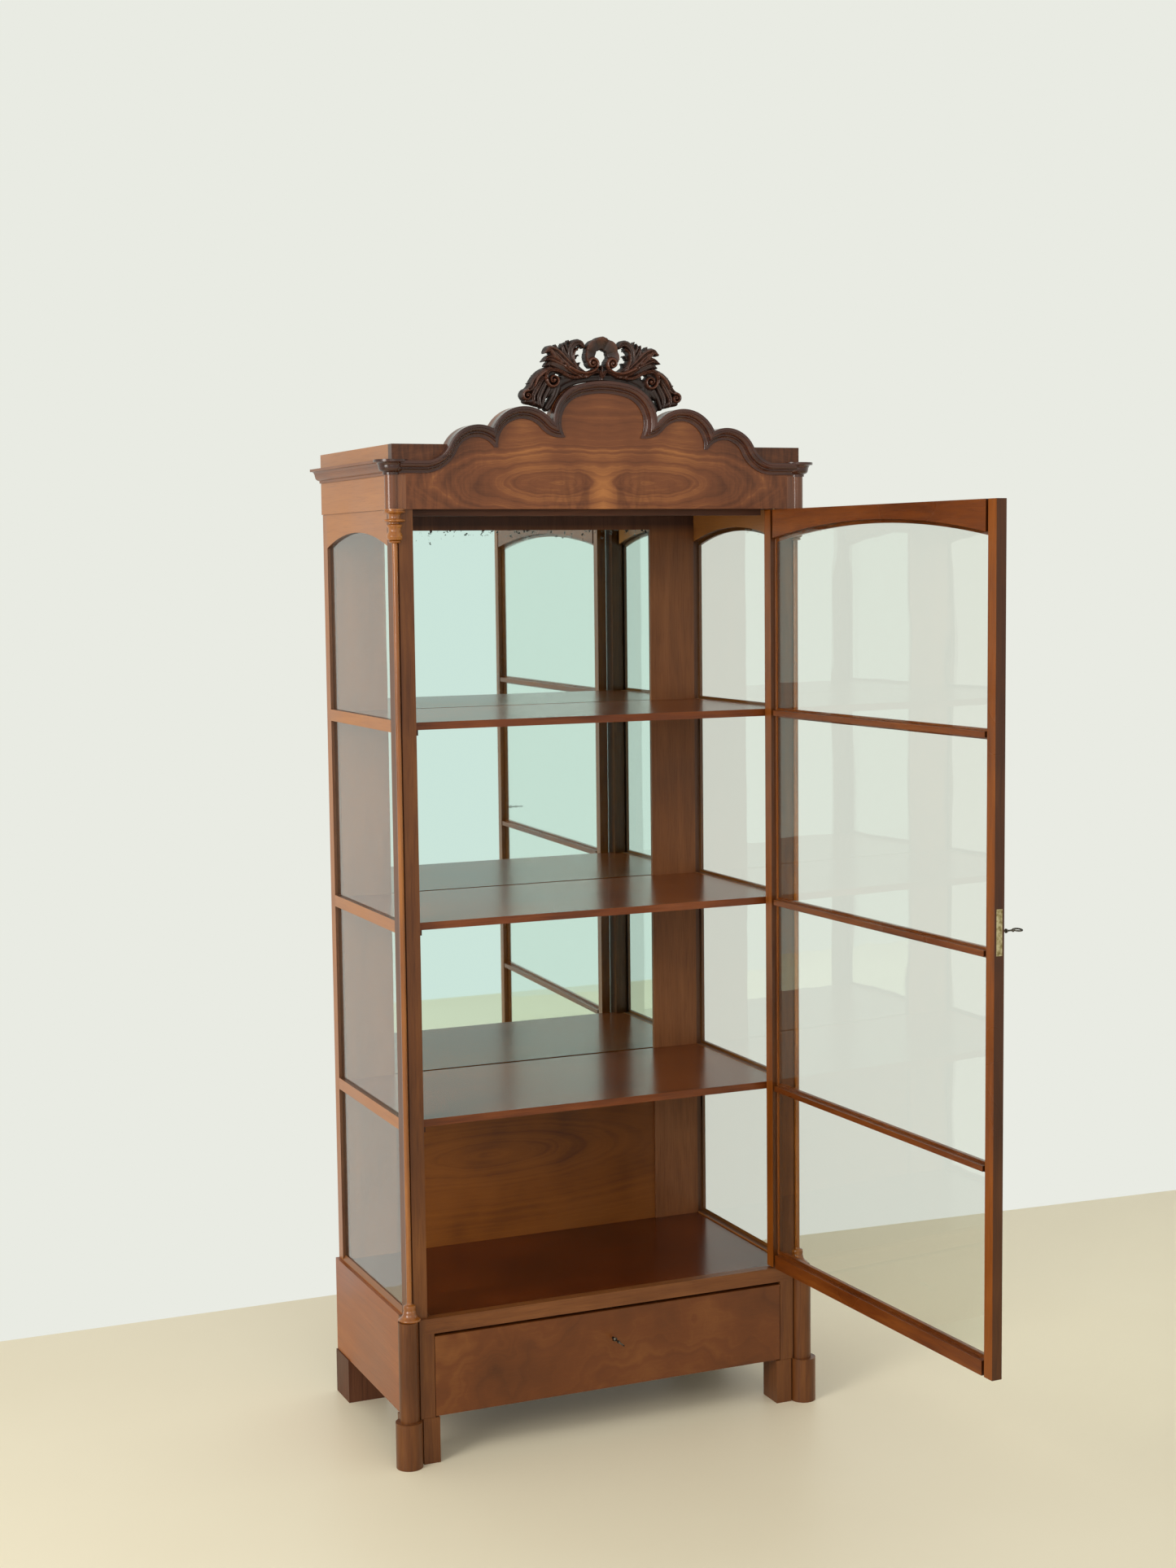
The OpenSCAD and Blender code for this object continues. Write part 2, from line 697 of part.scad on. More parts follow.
module door_glass() made_of(clear) swung() {
    x1 = door_in_x + rebate - pane_gap;
    low = [door_z0 + bottom_rail_h - rebate + pane_gap, bar_z(1) + 5 + pane_gap, bar_z(2) + 5 + pane_gap];
    for (k = [1:3]) box(-x1, x1, body_y + 7, body_y + 7 + glass_t, low[k - 1], bar_z(k) - 5 - pane_gap);
    upright(body_y + 7, glass_t) intersection() {
        translate([-x1, bar_z(3) + 5 + pane_gap]) square([2 * x1, z_frieze - bar_z(3)]);
        door_arch(rebate - pane_gap);
    }
}

module door_pins() made_of(brass) swung() {
    rod(pin_x, pin_y, pin_r, z_body - 10, door_z0 + 12);
    rod(pin_x, pin_y, pin_r, door_z1 - 12, z_frieze + 10);
}

module door_lock() made_of(brass) swung() difference() {
    union() {
        box(-door_x, lock_case_x, body_y + 4, body_y + 16, lock_z - lock_plate_h / 2, lock_z + lock_plate_h / 2);
        box(lock_case_x, lock_case_x + 17.5, body_y + 5, body_y + 15, lock_z - 30, lock_z + 30);
    }
    box(-door_x - 1, lock_case_x + 15, body_y + 7.9, body_y + 12.1, lock_z + 15.9, lock_z + 24.1);
    pin_along_y(key_x, lock_z, 6.5, body_y + 6, body_y + 14);
    pin_along_y(key_x, lock_z, 2.6, body_y + 4, body_y + 7);
    box(key_x - 0.9, key_x + 0.9, body_y + 4, body_y + 7, lock_z - 6.4, lock_z);
    for (s = [-1, 1]) translate([-door_x - 1, body_y + 10, lock_z + s * 34]) rotate([0, 90, 0]) cylinder(r = 1.2, h = 9);
    for (s = [-1, 1]) translate([-door_x - 0.5, body_y + 10, lock_z + s * 34]) rotate([0, 90, 0]) cylinder(r = 2.6, h = 1.5);
}

module door_lock_screws() made_of(brass) swung() {
    for (s = [-1, 1]) translate([-door_x, body_y + 10, lock_z + s * 34]) rotate([0, 90, 0]) {
        cylinder(r = 1.2, h = 8);
        difference() {
            cylinder(r = 2.6, h = 1);
            translate([-3, -0.3, -0.1]) cube([6, 0.6, 0.5]);
        }
    }
}

module door_bolt() made_of(brass) swung()
    box(0.5 - door_x, lock_case_x + 14, body_y + 8, body_y + 12, lock_z + 16, lock_z + 24);

module door_key() made_of(iron) swung() {
    key(key_x, lock_z, body_y, 12);
    key_ring(key_x, lock_z, body_y - 36, 0);
}

foot_front_left();
foot_front_right();
rear_feet();
base_post_left();
base_post_right();
base_side_left();
base_side_right();
base_back();
runner_left();
runner_right();
front_rail();
floor_board();
drawer_front();
drawer_sides();
drawer_back();
drawer_bottom();
drawer_lock();
drawer_bolt();
drawer_key();
corner_post_left();
corner_post_right();
column_left();
column_right();
rear_stile_left();
rear_stile_right();
arch_rail_left();
arch_rail_right();
side_rails_left();
side_rails_right();
side_glass_left();
side_glass_right();
back_frame();
mirror_glass();
mirror_back();
lower_panel();
shelf_lower();
shelf_middle();
shelf_upper();
shelf_cleats();
head_board();
top_back();
top_side_left();
top_side_right();
frieze_columns();
pediment_board();
cornice_left();
cornice_right();
pediment_moulding();
crest();
door_hinge_stile();
door_lock_stile();
door_top_rail();
door_bottom_rail();
door_bars();
door_glass();
door_pins();
door_lock();
door_lock_screws();
door_bolt();
door_key();
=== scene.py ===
"""Looks of the glazed mahogany display cabinet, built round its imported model.

Sizes inside the classes are millimetres in the cabinet's own frame: X from the middle of the
case to its right, Y to the back (the back plane is 0), Z up from the floor. place() turns them
into metres of the row frame.
"""

import json
import logging
import math
from dataclasses import dataclass
from enum import Enum
from typing import Any, Optional, Sequence

import bmesh
import bpy
import numpy as np
from mathutils import Matrix, Vector


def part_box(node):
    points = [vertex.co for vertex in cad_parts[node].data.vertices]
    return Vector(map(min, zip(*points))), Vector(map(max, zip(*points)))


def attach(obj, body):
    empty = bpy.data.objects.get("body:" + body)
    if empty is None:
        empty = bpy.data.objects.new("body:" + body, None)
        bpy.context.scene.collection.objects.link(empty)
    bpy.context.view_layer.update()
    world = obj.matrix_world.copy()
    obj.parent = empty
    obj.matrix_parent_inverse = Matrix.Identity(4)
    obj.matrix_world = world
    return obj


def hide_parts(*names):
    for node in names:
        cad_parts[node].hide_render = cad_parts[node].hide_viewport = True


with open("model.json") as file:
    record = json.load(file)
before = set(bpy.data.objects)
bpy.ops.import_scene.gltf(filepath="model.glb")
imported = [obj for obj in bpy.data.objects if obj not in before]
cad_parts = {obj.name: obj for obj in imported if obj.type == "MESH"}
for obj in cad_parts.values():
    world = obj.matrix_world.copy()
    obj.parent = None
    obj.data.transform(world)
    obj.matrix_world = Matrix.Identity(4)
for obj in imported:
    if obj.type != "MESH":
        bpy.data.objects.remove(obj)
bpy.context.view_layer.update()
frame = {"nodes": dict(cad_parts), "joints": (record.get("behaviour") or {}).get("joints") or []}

LOG = logging.getLogger("cabinet")
MM = 0.001
Part = tuple[np.ndarray, list[tuple[int, ...]]]
Socket = bpy.types.NodeSocket
Triple = tuple[float, float, float]
Tree = bpy.types.NodeTree


def case_middle() -> float:
    """X of the middle of the case in metres: half way between the base's two sides."""
    return (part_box("base_side_left")[0].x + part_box("base_side_right")[1].x) / 2


MIDDLE = case_middle()


def place(points: np.ndarray) -> np.ndarray:
    """Millimetres in the cabinet's frame to metres in the row frame: scale, then shift in X.

    Args:
        points: an array whose last axis is x, y, z.
    Returns:
        The same array in metres.
    """
    return points * MM + np.array([MIDDLE, 0.0, 0.0])


def bowed(points: Sequence[tuple[float, ...]], steps: int = 8) -> np.ndarray:
    """A profile whose spans bow out as parabolas.

    Each point is (a, b, bow). A span runs straight from its point to the next and is pushed
    sideways, to its left, by 4 t (1 - t) times bow times the span's length.

    Args:
        points: the corner points, each with the bow of the span that leaves it.
        steps: how many pieces a bowed span is cut into; a straight span stays whole.
    Returns:
        The profile's points, one row each.
    """
    rows = []
    for (a0, b0, bow), (a1, b1, _) in zip(points[:-1], points[1:]):
        t = np.linspace(0, 1, steps + 1 if bow else 2)[:-1, None]
        start, run = np.array([a0, b0]), np.array([a1 - a0, b1 - b0])
        side = np.array([-run[1], run[0]])
        rows.append(start + run * t + side * 4 * t * (1 - t) * bow)
    rows.append(np.array([[points[-1][0], points[-1][1]]]))
    return np.concatenate(rows)


def quads(rows: int, columns: int, wrap_rows: bool, wrap_columns: bool) -> np.ndarray:
    """Corner numbers of the four-sided faces of a grid of points.

    Face (i, j) joins points (i, j), (i, j+1), (i+1, j+1), (i+1, j), counted round where the
    grid wraps.

    Args:
        rows, columns: the grid's size.
        wrap_rows, wrap_columns: True where the last line joins the first.
    Returns:
        One row of four numbers for each face.
    """
    i = np.arange(rows if wrap_rows else rows - 1)[:, None]
    j = np.arange(columns if wrap_columns else columns - 1)[None, :]
    i2, j2 = (i + 1) % rows, (j + 1) % columns
    corners = [i * columns + j, i * columns + j2, i2 * columns + j2, i2 * columns + j]
    return np.stack([np.broadcast_to(c, (i.size, j.size)).ravel() for c in corners], 1)


def skin(rings: np.ndarray) -> Part:
    """A closed skin over rings of points: quads between the rings and a flat cap on each end.

    Args:
        rings: an array (ring, point round the ring, xyz).
    Returns:
        The points and the faces.
    """
    count, around = rings.shape[:2]
    faces = [tuple(f) for f in quads(count, around, False, True).tolist()]
    faces.append(tuple(range(around)))
    faces.append(tuple(range((count - 1) * around, count * around))[::-1])
    return rings.reshape(-1, 3), faces


def lathe(profile: np.ndarray, x: float, y: float, sides: int = 72) -> Part:
    """A turned piece: each profile point (radius, z) makes a ring round the upright at x, y.

    Args:
        profile: rows of radius and height.
        x, y: the turning axis.
        sides: points round each ring.
    Returns:
        The points and the faces.
    """
    a = np.linspace(0, 2 * np.pi, sides, endpoint=False)
    r, z = np.maximum(profile[:, :1], 1e-3), profile[:, 1:]
    rings = np.stack([x + r * np.cos(a), y + r * np.sin(a), z + 0 * a], 2)
    return skin(rings)


def tube(path: np.ndarray, radius: np.ndarray, sides: int = 20, loop: bool = False) -> Part:
    """A round bar along a path: circles square to it, each with its own radius.

    The first side vector is the path's direction crossed with a fixed upright, the second
    completes the right angle.

    Args:
        path: the bar's middle line.
        radius: one radius for each point of the path.
        sides: points round the bar.
        loop: True where the last point joins the first.
    Returns:
        The points and the faces.
    """
    along = np.roll(path, -1, 0) - np.roll(path, 1, 0) if loop else np.gradient(path, axis=0)
    along /= np.linalg.norm(along, axis=1, keepdims=True)
    pole = np.eye(3)[np.argmin(np.abs(along).max(0))]
    one = np.cross(along, pole)
    one /= np.linalg.norm(one, axis=1, keepdims=True)
    two = np.cross(along, one)
    a = np.linspace(0, 2 * np.pi, sides, endpoint=False)[None, :, None]
    rings = path[:, None] + radius[:, None, None] * (np.cos(a) * one[:, None] + np.sin(a) * two[:, None])
    if not loop:
        return skin(rings)
    faces = [tuple(f) for f in quads(len(path), sides, True, True).tolist()]
    return rings.reshape(-1, 3), faces


def shown(name: str, data: bpy.types.ID) -> bpy.types.Object:
    """Puts a new object in the scene.

    Args:
        name: the object's name.
        data: its mesh, lamp or camera.
    Returns:
        The object.
    """
    made = bpy.data.objects.new(name, data)
    bpy.context.scene.collection.objects.link(made)
    return made


def piece(name: str, parts: Sequence[Part], finish: "Finish", body: str, stands_for: Sequence[str],
          crease: float = 35.0) -> bpy.types.Object:
    """Makes one Blender object from skins in metres, dresses it and hangs it on its CAD body.

    Args:
        name: the piece's name.
        parts: the skins that make it up.
        finish: what it is finished in.
        body: the CAD body it rides on.
        stands_for: the CAD nodes it replaces.
        crease: edges sharper than this many degrees stay sharp.
    Returns:
        The new object.
    """
    points, faces, start = [], [], 0
    for xyz, corners in parts:
        points.append(xyz)
        faces += [tuple(c + start for c in f) for f in corners]
        start += len(xyz)
    mesh = bpy.data.meshes.new(name)
    mesh.from_pydata(np.concatenate(points).tolist(), [], faces)
    work = bmesh.new()
    work.from_mesh(mesh)
    bmesh.ops.remove_doubles(work, verts=work.verts, dist=1e-6)
    bmesh.ops.recalc_face_normals(work, faces=work.faces)
    work.to_mesh(mesh)
    work.free()
    mesh.shade_smooth()
    mesh.set_sharp_from_angle(angle=math.radians(crease))
    made = shown(name, mesh)
    mesh.materials.append(finish.make())
    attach(made, body)
    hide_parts(*stands_for)
    LOG.info("%s: %d faces, rides on %s", name, len(mesh.polygons), body)
    return made


# ---------------------------------------------------------------- nodes


def linear(colour: str) -> tuple[float, float, float, float]:
    """Turns an sRGB hex colour into light amounts: the sRGB curve undone for each channel.

    Args:
        colour: the hex colour.
    Returns:
        Linear red, green and blue, and alpha 1.
    """
    c = np.array([int(colour[i:i + 2], 16) for i in (1, 3, 5)]) / 255
    c = np.where(c <= 0.04045, c / 12.92, ((c + 0.055) / 1.055) ** 2.4)
    return (float(c[0]), float(c[1]), float(c[2]), 1.0)


def add(tree: Tree, kind: str, inputs: Optional[dict[Any, Any]] = None,
        stops: Sequence[tuple[float, str]] = (), **settings: Any) -> bpy.types.Node:
    """Adds a node with its settings and links.

    Args:
        tree: the node tree.
        kind: the node's type.
        inputs: a value or another node's output for each named or numbered input.
        stops: for a colour ramp, its positions and hex colours.
        settings: the node's own settings.
    Returns:
        The new node.
    """
    node = tree.nodes.new(kind)
    for name, value in settings.items():
        setattr(node, name, value)
    for key, value in (inputs or {}).items():
        if isinstance(value, Socket):
            tree.links.new(value, node.inputs[key])
        else:
            node.inputs[key].default_value = value
    for n, (position, colour) in enumerate(stops):
        marks = node.color_ramp.elements
        mark = marks[n] if n < 2 else marks.new(position)
        mark.position, mark.color = position, linear(colour)
    return node


def own_place(tree: Tree) -> Socket:
    """Each point's place in its own piece, in metres."""
    return add(tree, "ShaderNodeTexCoord").outputs["Object"]


def height_of(tree: Tree, where: Socket) -> Socket:
    """The Z part of a place."""
    return add(tree, "ShaderNodeSeparateXYZ", {0: where}).outputs[2]


def maths(tree: Tree, operation: str, *values: Any) -> Socket:
    """A sum, product or the like of up to three values."""
    return add(tree, "ShaderNodeMath", dict(enumerate(values)), operation=operation).outputs[0]


def ranged(tree: Tree, value: Any, low: float, high: float,
           to_low: float = 0.0, to_high: float = 1.0) -> Socket:
    """A value carried from low..high to to_low..to_high, and held at both ends."""
    return add(tree, "ShaderNodeMapRange", {0: value, 1: low, 2: high, 3: to_low, 4: to_high}).outputs[0]


def drawn_out(tree: Tree, where: Socket, scale: Triple) -> Socket:
    """A place scaled along each axis: a small scale draws the pattern out that way."""
    return add(tree, "ShaderNodeMapping", {"Vector": where, "Scale": scale}).outputs[0]


def noise(tree: Tree, where: Socket, size_mm: float, **inputs: float) -> Socket:
    """Soft noise with marks of about size_mm across."""
    return add(tree, "ShaderNodeTexNoise", {
        "Vector": where, "Scale": 1 / (size_mm * MM), **inputs}).outputs[0]


def ramp(tree: Tree, tone: Socket, dark: str, mid: str, light: str, middle: float = 0.5) -> Socket:
    """A colour that runs from dark over mid to light as tone runs from 0 to 1."""
    return add(tree, "ShaderNodeValToRGB", {0: tone}, [(0.0, dark), (1.0, light), (middle, mid)]).outputs[0]


def blend(tree: Tree, amount: Socket, first: str, second: str) -> Socket:
    """The first colour where amount is 0 and the second where it is 1."""
    return add(tree, "ShaderNodeMix", {0: amount, 6: linear(first), 7: linear(second)},
               data_type="RGBA").outputs[2]


def times(tree: Tree, colour: Socket, amount: Socket, shade: tuple[float, float, float, float]) -> Socket:
    """A colour multiplied by shade where amount is 1, and left alone where it is 0."""
    return add(tree, "ShaderNodeMix", {0: amount, 6: colour, 7: shade}, data_type="RGBA",
               blend_type="MULTIPLY").outputs[2]


def bumped(tree: Tree, height: Socket, strength: float, depth: float) -> Socket:
    """The surface's slope where height stands up by depth metres."""
    return add(tree, "ShaderNodeBump", {"Height": height, "Strength": strength, "Distance": depth}).outputs[0]


# ---------------------------------------------------------------- finishes


class Finish:
    """A finish: a named material made once, from nodes."""

    name: str

    def make(self) -> bpy.types.Material:
        """The finish's material, made the first time it is asked for."""
        found = bpy.data.materials.get(self.name)
        if found:
            return found
        material = bpy.data.materials.new(self.name)
        material.use_nodes = True
        tree = material.node_tree
        tree.nodes.clear()
        surface = self.surface(tree)
        add(tree, "ShaderNodeOutputMaterial", {"Surface": surface.outputs[0]})
        return material

    def surface(self, tree: Tree) -> bpy.types.Node:
        """Builds the finish's nodes.

        Args:
            tree: the material's node tree.
        Returns:
            The shader node that the output takes.
        """
        raise NotImplementedError


class Grain(Enum):
    """Which way the grain runs, as the turn in degrees that brings it onto Z."""

    UPRIGHT = (0, 0, 0)
    ACROSS = (0, -90, 0)
    DEEP = (90, 0, 0)


@dataclass(frozen=True)
class PolishedMahogany(Finish):
    """Sawn mahogany under French polish: soft bands, fine dark pores and a low warm shine.

    The edge way points out of an edge that is drawn darker. The face way points along the normal of the
    faces that take the light: faces turned away from it get painted shade, and so does wood above the
    dark height. even keeps the polish smooth, for wide level boards.
    """

    name: str
    dark: str
    mid: str
    light: str
    grain: Grain = Grain.UPRIGHT
    band_mm: float = 16.0
    roughness: float = 0.34
    coat: float = 0.12
    pores: float = 0.45
    contrast: float = 1.0
    shine: float = 0.28
    edge_way: Optional[Triple] = None
    lit_face_way: Optional[Triple] = None
    painted_shade_above: float = 0.0
    even: bool = False

    def surface(self, tree: Tree) -> bpy.types.Node:
        """Growth bands and pores drawn out along the grain, then the polish over them."""
        where = own_place(tree)
        turn = tuple(math.radians(a) for a in self.grain.value)
        laid = add(tree, "ShaderNodeMapping", {"Vector": where, "Rotation": turn}).outputs[0]
        bands = noise(tree, drawn_out(tree, laid, (1.0, 1.0, 0.07)), self.band_mm, Detail=5.0, Roughness=0.6,
                      Distortion=0.9)
        patches = noise(tree, laid, 260.0, Detail=2.0)
        # pores are about 0.3 mm wide in the wood and are drawn 2 mm wide, so that they show
        pore = noise(tree, drawn_out(tree, laid, (1.0, 1.0, 0.035)), 2.0, Detail=3.0)
        half = 0.42 / self.contrast
        tone = ranged(tree, maths(tree, "ADD", bands, patches), 1.0 - half, 1.0 + half)
        colour = ramp(tree, tone, self.dark, self.mid, self.light)
        open_pore = ranged(tree, pore, 0.5, 0.72)
        depth = maths(tree, "MULTIPLY", open_pore, self.pores)
        colour = times(tree, colour, depth, (0.45, 0.36, 0.32, 1.0))
        # darker edges, plus painted shade on faces turned from the light and on wood high up, all multiplied
        # into the colour
        for amount in self.painted_shade_and_dark_edges(tree, where):
            colour = times(tree, colour, amount, (0.34, 0.36, 0.6, 1.0))
        uneven = 0.15 if self.even else 1.0
        dull = ranged(tree, patches, 0.3, 0.7, self.roughness - 0.06 * uneven, self.roughness + 0.1 * uneven)
        return add(tree, "ShaderNodeBsdfPrincipled", {
            "Base Color": colour, "Roughness": dull,
            "Normal": bumped(tree, open_pore, 0.25 * uneven, -0.0004),
            "Coat Weight": self.coat, "Coat Roughness": 0.14, "Specular IOR Level": self.shine})

    def painted_shade_and_dark_edges(self, tree: Tree, where: Socket) -> list[Socket]:
        """How far each point lies on a darker edge or in painted shade, from 0 to 1.

        Edges are told by the way the wood faces in its own frame, so they stay when a part moves.

        Args:
            tree: the material's node tree.
            where: the place of each point.
        Returns:
            One amount for each darker edge or painted shade the finish has.
        """
        found = []
        for way, both_sides, low, high in (
                (self.edge_way, False, 0.85, 0.97), (self.lit_face_way, True, 0.9, 0.7)):
            if way:
                facing = add(tree, "ShaderNodeTexCoord").outputs["Normal"]
                toward = add(tree, "ShaderNodeVectorMath", {0: facing, 1: way},
                             operation="DOT_PRODUCT").outputs["Value"]
                if both_sides:
                    toward = maths(tree, "ABSOLUTE", toward)
                found.append(ranged(tree, toward, low, high))
        # painted shade on the wood above the given height
        if self.painted_shade_above:
            found.append(ranged(tree, height_of(tree, where), (self.painted_shade_above - 12) * MM,
                                (self.painted_shade_above + 8) * MM))
        return found


@dataclass(frozen=True)
class SawnFigure(Finish):
    """A board or veneer that shows the log's rings: nested ovals round a heart, under polish.

    mirrored turns it into two matching leaves of veneer, opened like a book about the middle,
    with a pale flame on the joint and a dark plume of that weight beside it. Rings grow faint
    beyond calm_mm from the heart.
    """

    name: str
    dark: str
    mid: str
    light: str
    heart: tuple[float, float]
    squash: float
    ring_mm: float
    wobble_mm: float
    mirrored: bool = False
    plume: float = 0.0
    roughness: float = 0.34
    coat: float = 0.12
    spread: float = 0.5
    calm_mm: float = 60.0

    def level(self, tree: Tree, high: Socket, above: float, below: float) -> Socket:
        """0 at above millimetres over the heart, 1 at below, and between them between."""
        return ranged(tree, high, (self.heart[1] + above) * MM, (self.heart[1] + below) * MM)

    def matched(self, tree: Tree, tone: Socket, leaf: Socket, across: Socket, high: Socket,
                swell: Socket) -> Socket:
        """Adds what the log's fork draws: glowing ovals, a flame at the joint, rippled ends.

        Args:
            tree: the material's node tree.
            tone: the tone of the rings.
            leaf: the place on one leaf of the veneer.
            across, high: its distance from the joint and its height.
            swell: its wavering distance from the heart.
        Returns:
            The new tone.
        """
        tone = maths(tree, "ADD", tone, ranged(tree, swell, 0.085, 0.045, 0.0, 0.13))
        flame = maths(tree, "MULTIPLY", ranged(tree, across, 0.034, 0.0), self.level(tree, high, 25, -15))
        tone = maths(tree, "MULTIPLY_ADD", flame, 0.3, tone)
        ripple = noise(tree, drawn_out(tree, leaf, (1.0, 1.0, 0.16)), 7.0, Detail=1.0, Distortion=0.6)
        return maths(tree, "MULTIPLY_ADD", ripple, ranged(tree, across, 0.2, 0.33, 0.0, -0.55), tone)

    def feather(self, tree: Tree, leaf: Socket, across: Socket, high: Socket) -> Socket:
        """How dark the plume is at each point: strands times a share for each way out of it.

        Args:
            tree: the material's node tree.
            leaf: the place on one leaf of the veneer.
            across, high: its distance from the joint and its height.
        Returns:
            An amount from 0 to the plume's weight.
        """
        near = maths(tree, "MULTIPLY", ranged(tree, across, 0.15, 0.06), ranged(tree, across, 0.012, 0.035))
        strands = noise(tree, drawn_out(tree, leaf, (1.0, 1.0, 0.3)), 24.0, Detail=4.0, Distortion=1.5)
        dark = maths(tree, "MULTIPLY", ranged(tree, strands, 0.46, 0.62), near)
        dark = maths(tree, "MULTIPLY", dark, self.level(tree, high, 40, -10))
        return maths(tree, "MULTIPLY", dark, self.plume)

    def surface(self, tree: Tree) -> bpy.types.Node:
        """Rings counted by the distance from the heart, squashed along the board, with noise."""
        x, y, high = add(tree, "ShaderNodeSeparateXYZ", {0: own_place(tree)}).outputs
        across = maths(tree, "SUBTRACT", x, MIDDLE)
        if self.mirrored:
            across = maths(tree, "ABSOLUTE", across)
        leaf = add(tree, "ShaderNodeCombineXYZ", {0: across, 1: y, 2: high}).outputs[0]
        run = add(tree, "ShaderNodeMapping", {
            "Vector": leaf, "Location": (-self.heart[0] * MM * self.squash, 0, -self.heart[1] * MM),
            "Scale": (self.squash, 0.0, 1.0)}).outputs[0]
        reach = add(tree, "ShaderNodeVectorMath", {0: run}, operation="LENGTH").outputs["Value"]
        stir = noise(tree, leaf, 90.0, Detail=3.0)
        swell = maths(tree, "MULTIPLY_ADD", stir, self.wobble_mm * MM, reach)
        count = maths(tree, "MULTIPLY", swell, 1 / (self.ring_mm * MM))
        rings = add(tree, "ShaderNodeTexNoise", {"W": count, "Scale": 1.0, "Detail": 4.0, "Roughness": 0.55},
                    noise_dimensions="1D").outputs[0]
        # fibres are drawn 1.6 mm wide, several times coarser than the wood's, so that they show
        fibre = noise(tree, drawn_out(tree, leaf, (0.07, 1.0, 1.0)), 1.6, Detail=2.0)
        cloud = noise(tree, leaf, 120.0, Detail=2.0)
        clear = ranged(tree, reach, self.calm_mm * MM, (self.calm_mm + 25) * MM, 1.0, 0.4)
        rings = maths(tree, "MULTIPLY_ADD", maths(tree, "SUBTRACT", rings, 0.5), clear, 0.5)
        tone = maths(tree, "MULTIPLY_ADD", fibre, 0.22, maths(tree, "ADD", rings, cloud))
        if self.mirrored:
            tone = self.matched(tree, tone, leaf, across, high, swell)
        tone = ranged(tree, tone, 1.12 - self.spread, 1.12 + self.spread)
        colour = ramp(tree, tone, self.dark, self.mid, self.light, 0.52)
        if self.plume:
            colour = times(tree, colour, self.feather(tree, leaf, across, high), (0.35, 0.28, 0.24, 1.0))
        dull = ranged(tree, cloud, 0.3, 0.7, self.roughness - 0.05, self.roughness + 0.09)
        return add(tree, "ShaderNodeBsdfPrincipled", {
            "Base Color": colour, "Roughness": dull, "Normal": bumped(tree, fibre, 0.12, 0.0003),
            "Coat Weight": self.coat, "Coat Roughness": 0.12, "Specular IOR Level": 0.28})


@dataclass(frozen=True)
class StainedCarving(Finish):
    """Dark stained carving: painted shade makes it near black in the hollows, and it is rubbed red-brown on
    the high edges.
    """

    name: str = "dark_stained_carving"
    hollow: str = "#140a07"
    stain: str = "#301a12"
    rubbed: str = "#593324"

    def surface(self, tree: Tree) -> bpy.types.Node:
        """The stored relief height picks the tone, painted shade low down and the rubbed colour high up, and
        noise breaks it up.
        """
        height = add(tree, "ShaderNodeAttribute", attribute_name="relief").outputs["Fac"]
        grime = noise(tree, own_place(tree), 9.0, Detail=4.0)
        # low relief takes the hollow colour as painted shade; high relief takes the rubbed colour of wear
        tone = ranged(tree, maths(tree, "MULTIPLY_ADD", grime, 0.6, height), 0.35, 1.25)
        return add(tree, "ShaderNodeBsdfPrincipled", {
            "Base Color": ramp(tree, tone, self.hollow, self.stain, self.rubbed),
            "Roughness": ranged(tree, tone, 0.0, 1.0, 0.62, 0.3), "Normal": bumped(tree, grime, 0.3, 0.0006),
            "Coat Weight": 0.2, "Coat Roughness": 0.2, "Specular IOR Level": 0.4})


@dataclass(frozen=True)
class DrawnGlass(Finish):
    """Old drawn window glass: clear, faintly grey-green, with slow waves that bend reflections."""

    name: str
    tint: str = "#f4f7f2"
    wave_mm: float = 70.0

    def surface(self, tree: Tree) -> bpy.types.Node:
        """Clear glass whose slope wanders, and which lets lamps through to what stands behind."""
        wave = noise(tree, drawn_out(tree, own_place(tree), (1.0, 1.0, 0.5)), self.wave_mm, Detail=1.0)
        glass = add(tree, "ShaderNodeBsdfPrincipled", {
            "Base Color": linear(self.tint), "Roughness": 0.0, "IOR": 1.5, "Transmission Weight": 1.0,
            "Normal": bumped(tree, wave, 0.3, 0.0006)})
        clear = add(tree, "ShaderNodeBsdfTransparent", {"Color": linear(self.tint)})
        lamps = add(tree, "ShaderNodeLightPath").outputs["Is Shadow Ray"]
        return add(tree, "ShaderNodeMixShader", {0: lamps, 1: glass.outputs[0], 2: clear.outputs[0]})


@dataclass(frozen=True)
class SilveredMirror(Finish):
    """Old silvered plate glass: a cool mirror, with dark specks where the silver has gone."""

    name: str = "old_silvered_mirror"
    silver: str = "#dff8f5"
    bare: str = "#1a1816"
    top_mm: float = 1742.0

    def surface(self, tree: Tree) -> bpy.types.Node:
        """Silver everywhere but in worn specks, which crowd together near the top edge."""
        where = own_place(tree)
        near_top = ranged(tree, height_of(tree, where), (self.top_mm - 60) * MM, (self.top_mm - 2) * MM,
                          0.0, 0.24)
        speck = noise(tree, where, 11.0, Detail=6.0, Roughness=0.7)
        worn = ranged(tree, maths(tree, "ADD", speck, near_top), 0.77, 0.8)
        return add(tree, "ShaderNodeBsdfPrincipled", {
            "Base Color": blend(tree, worn, self.silver, self.bare),
            "Metallic": ranged(tree, worn, 0.0, 1.0, 1.0, 0.0),
            "Roughness": ranged(tree, worn, 0.0, 1.0, 0.015, 0.5)})


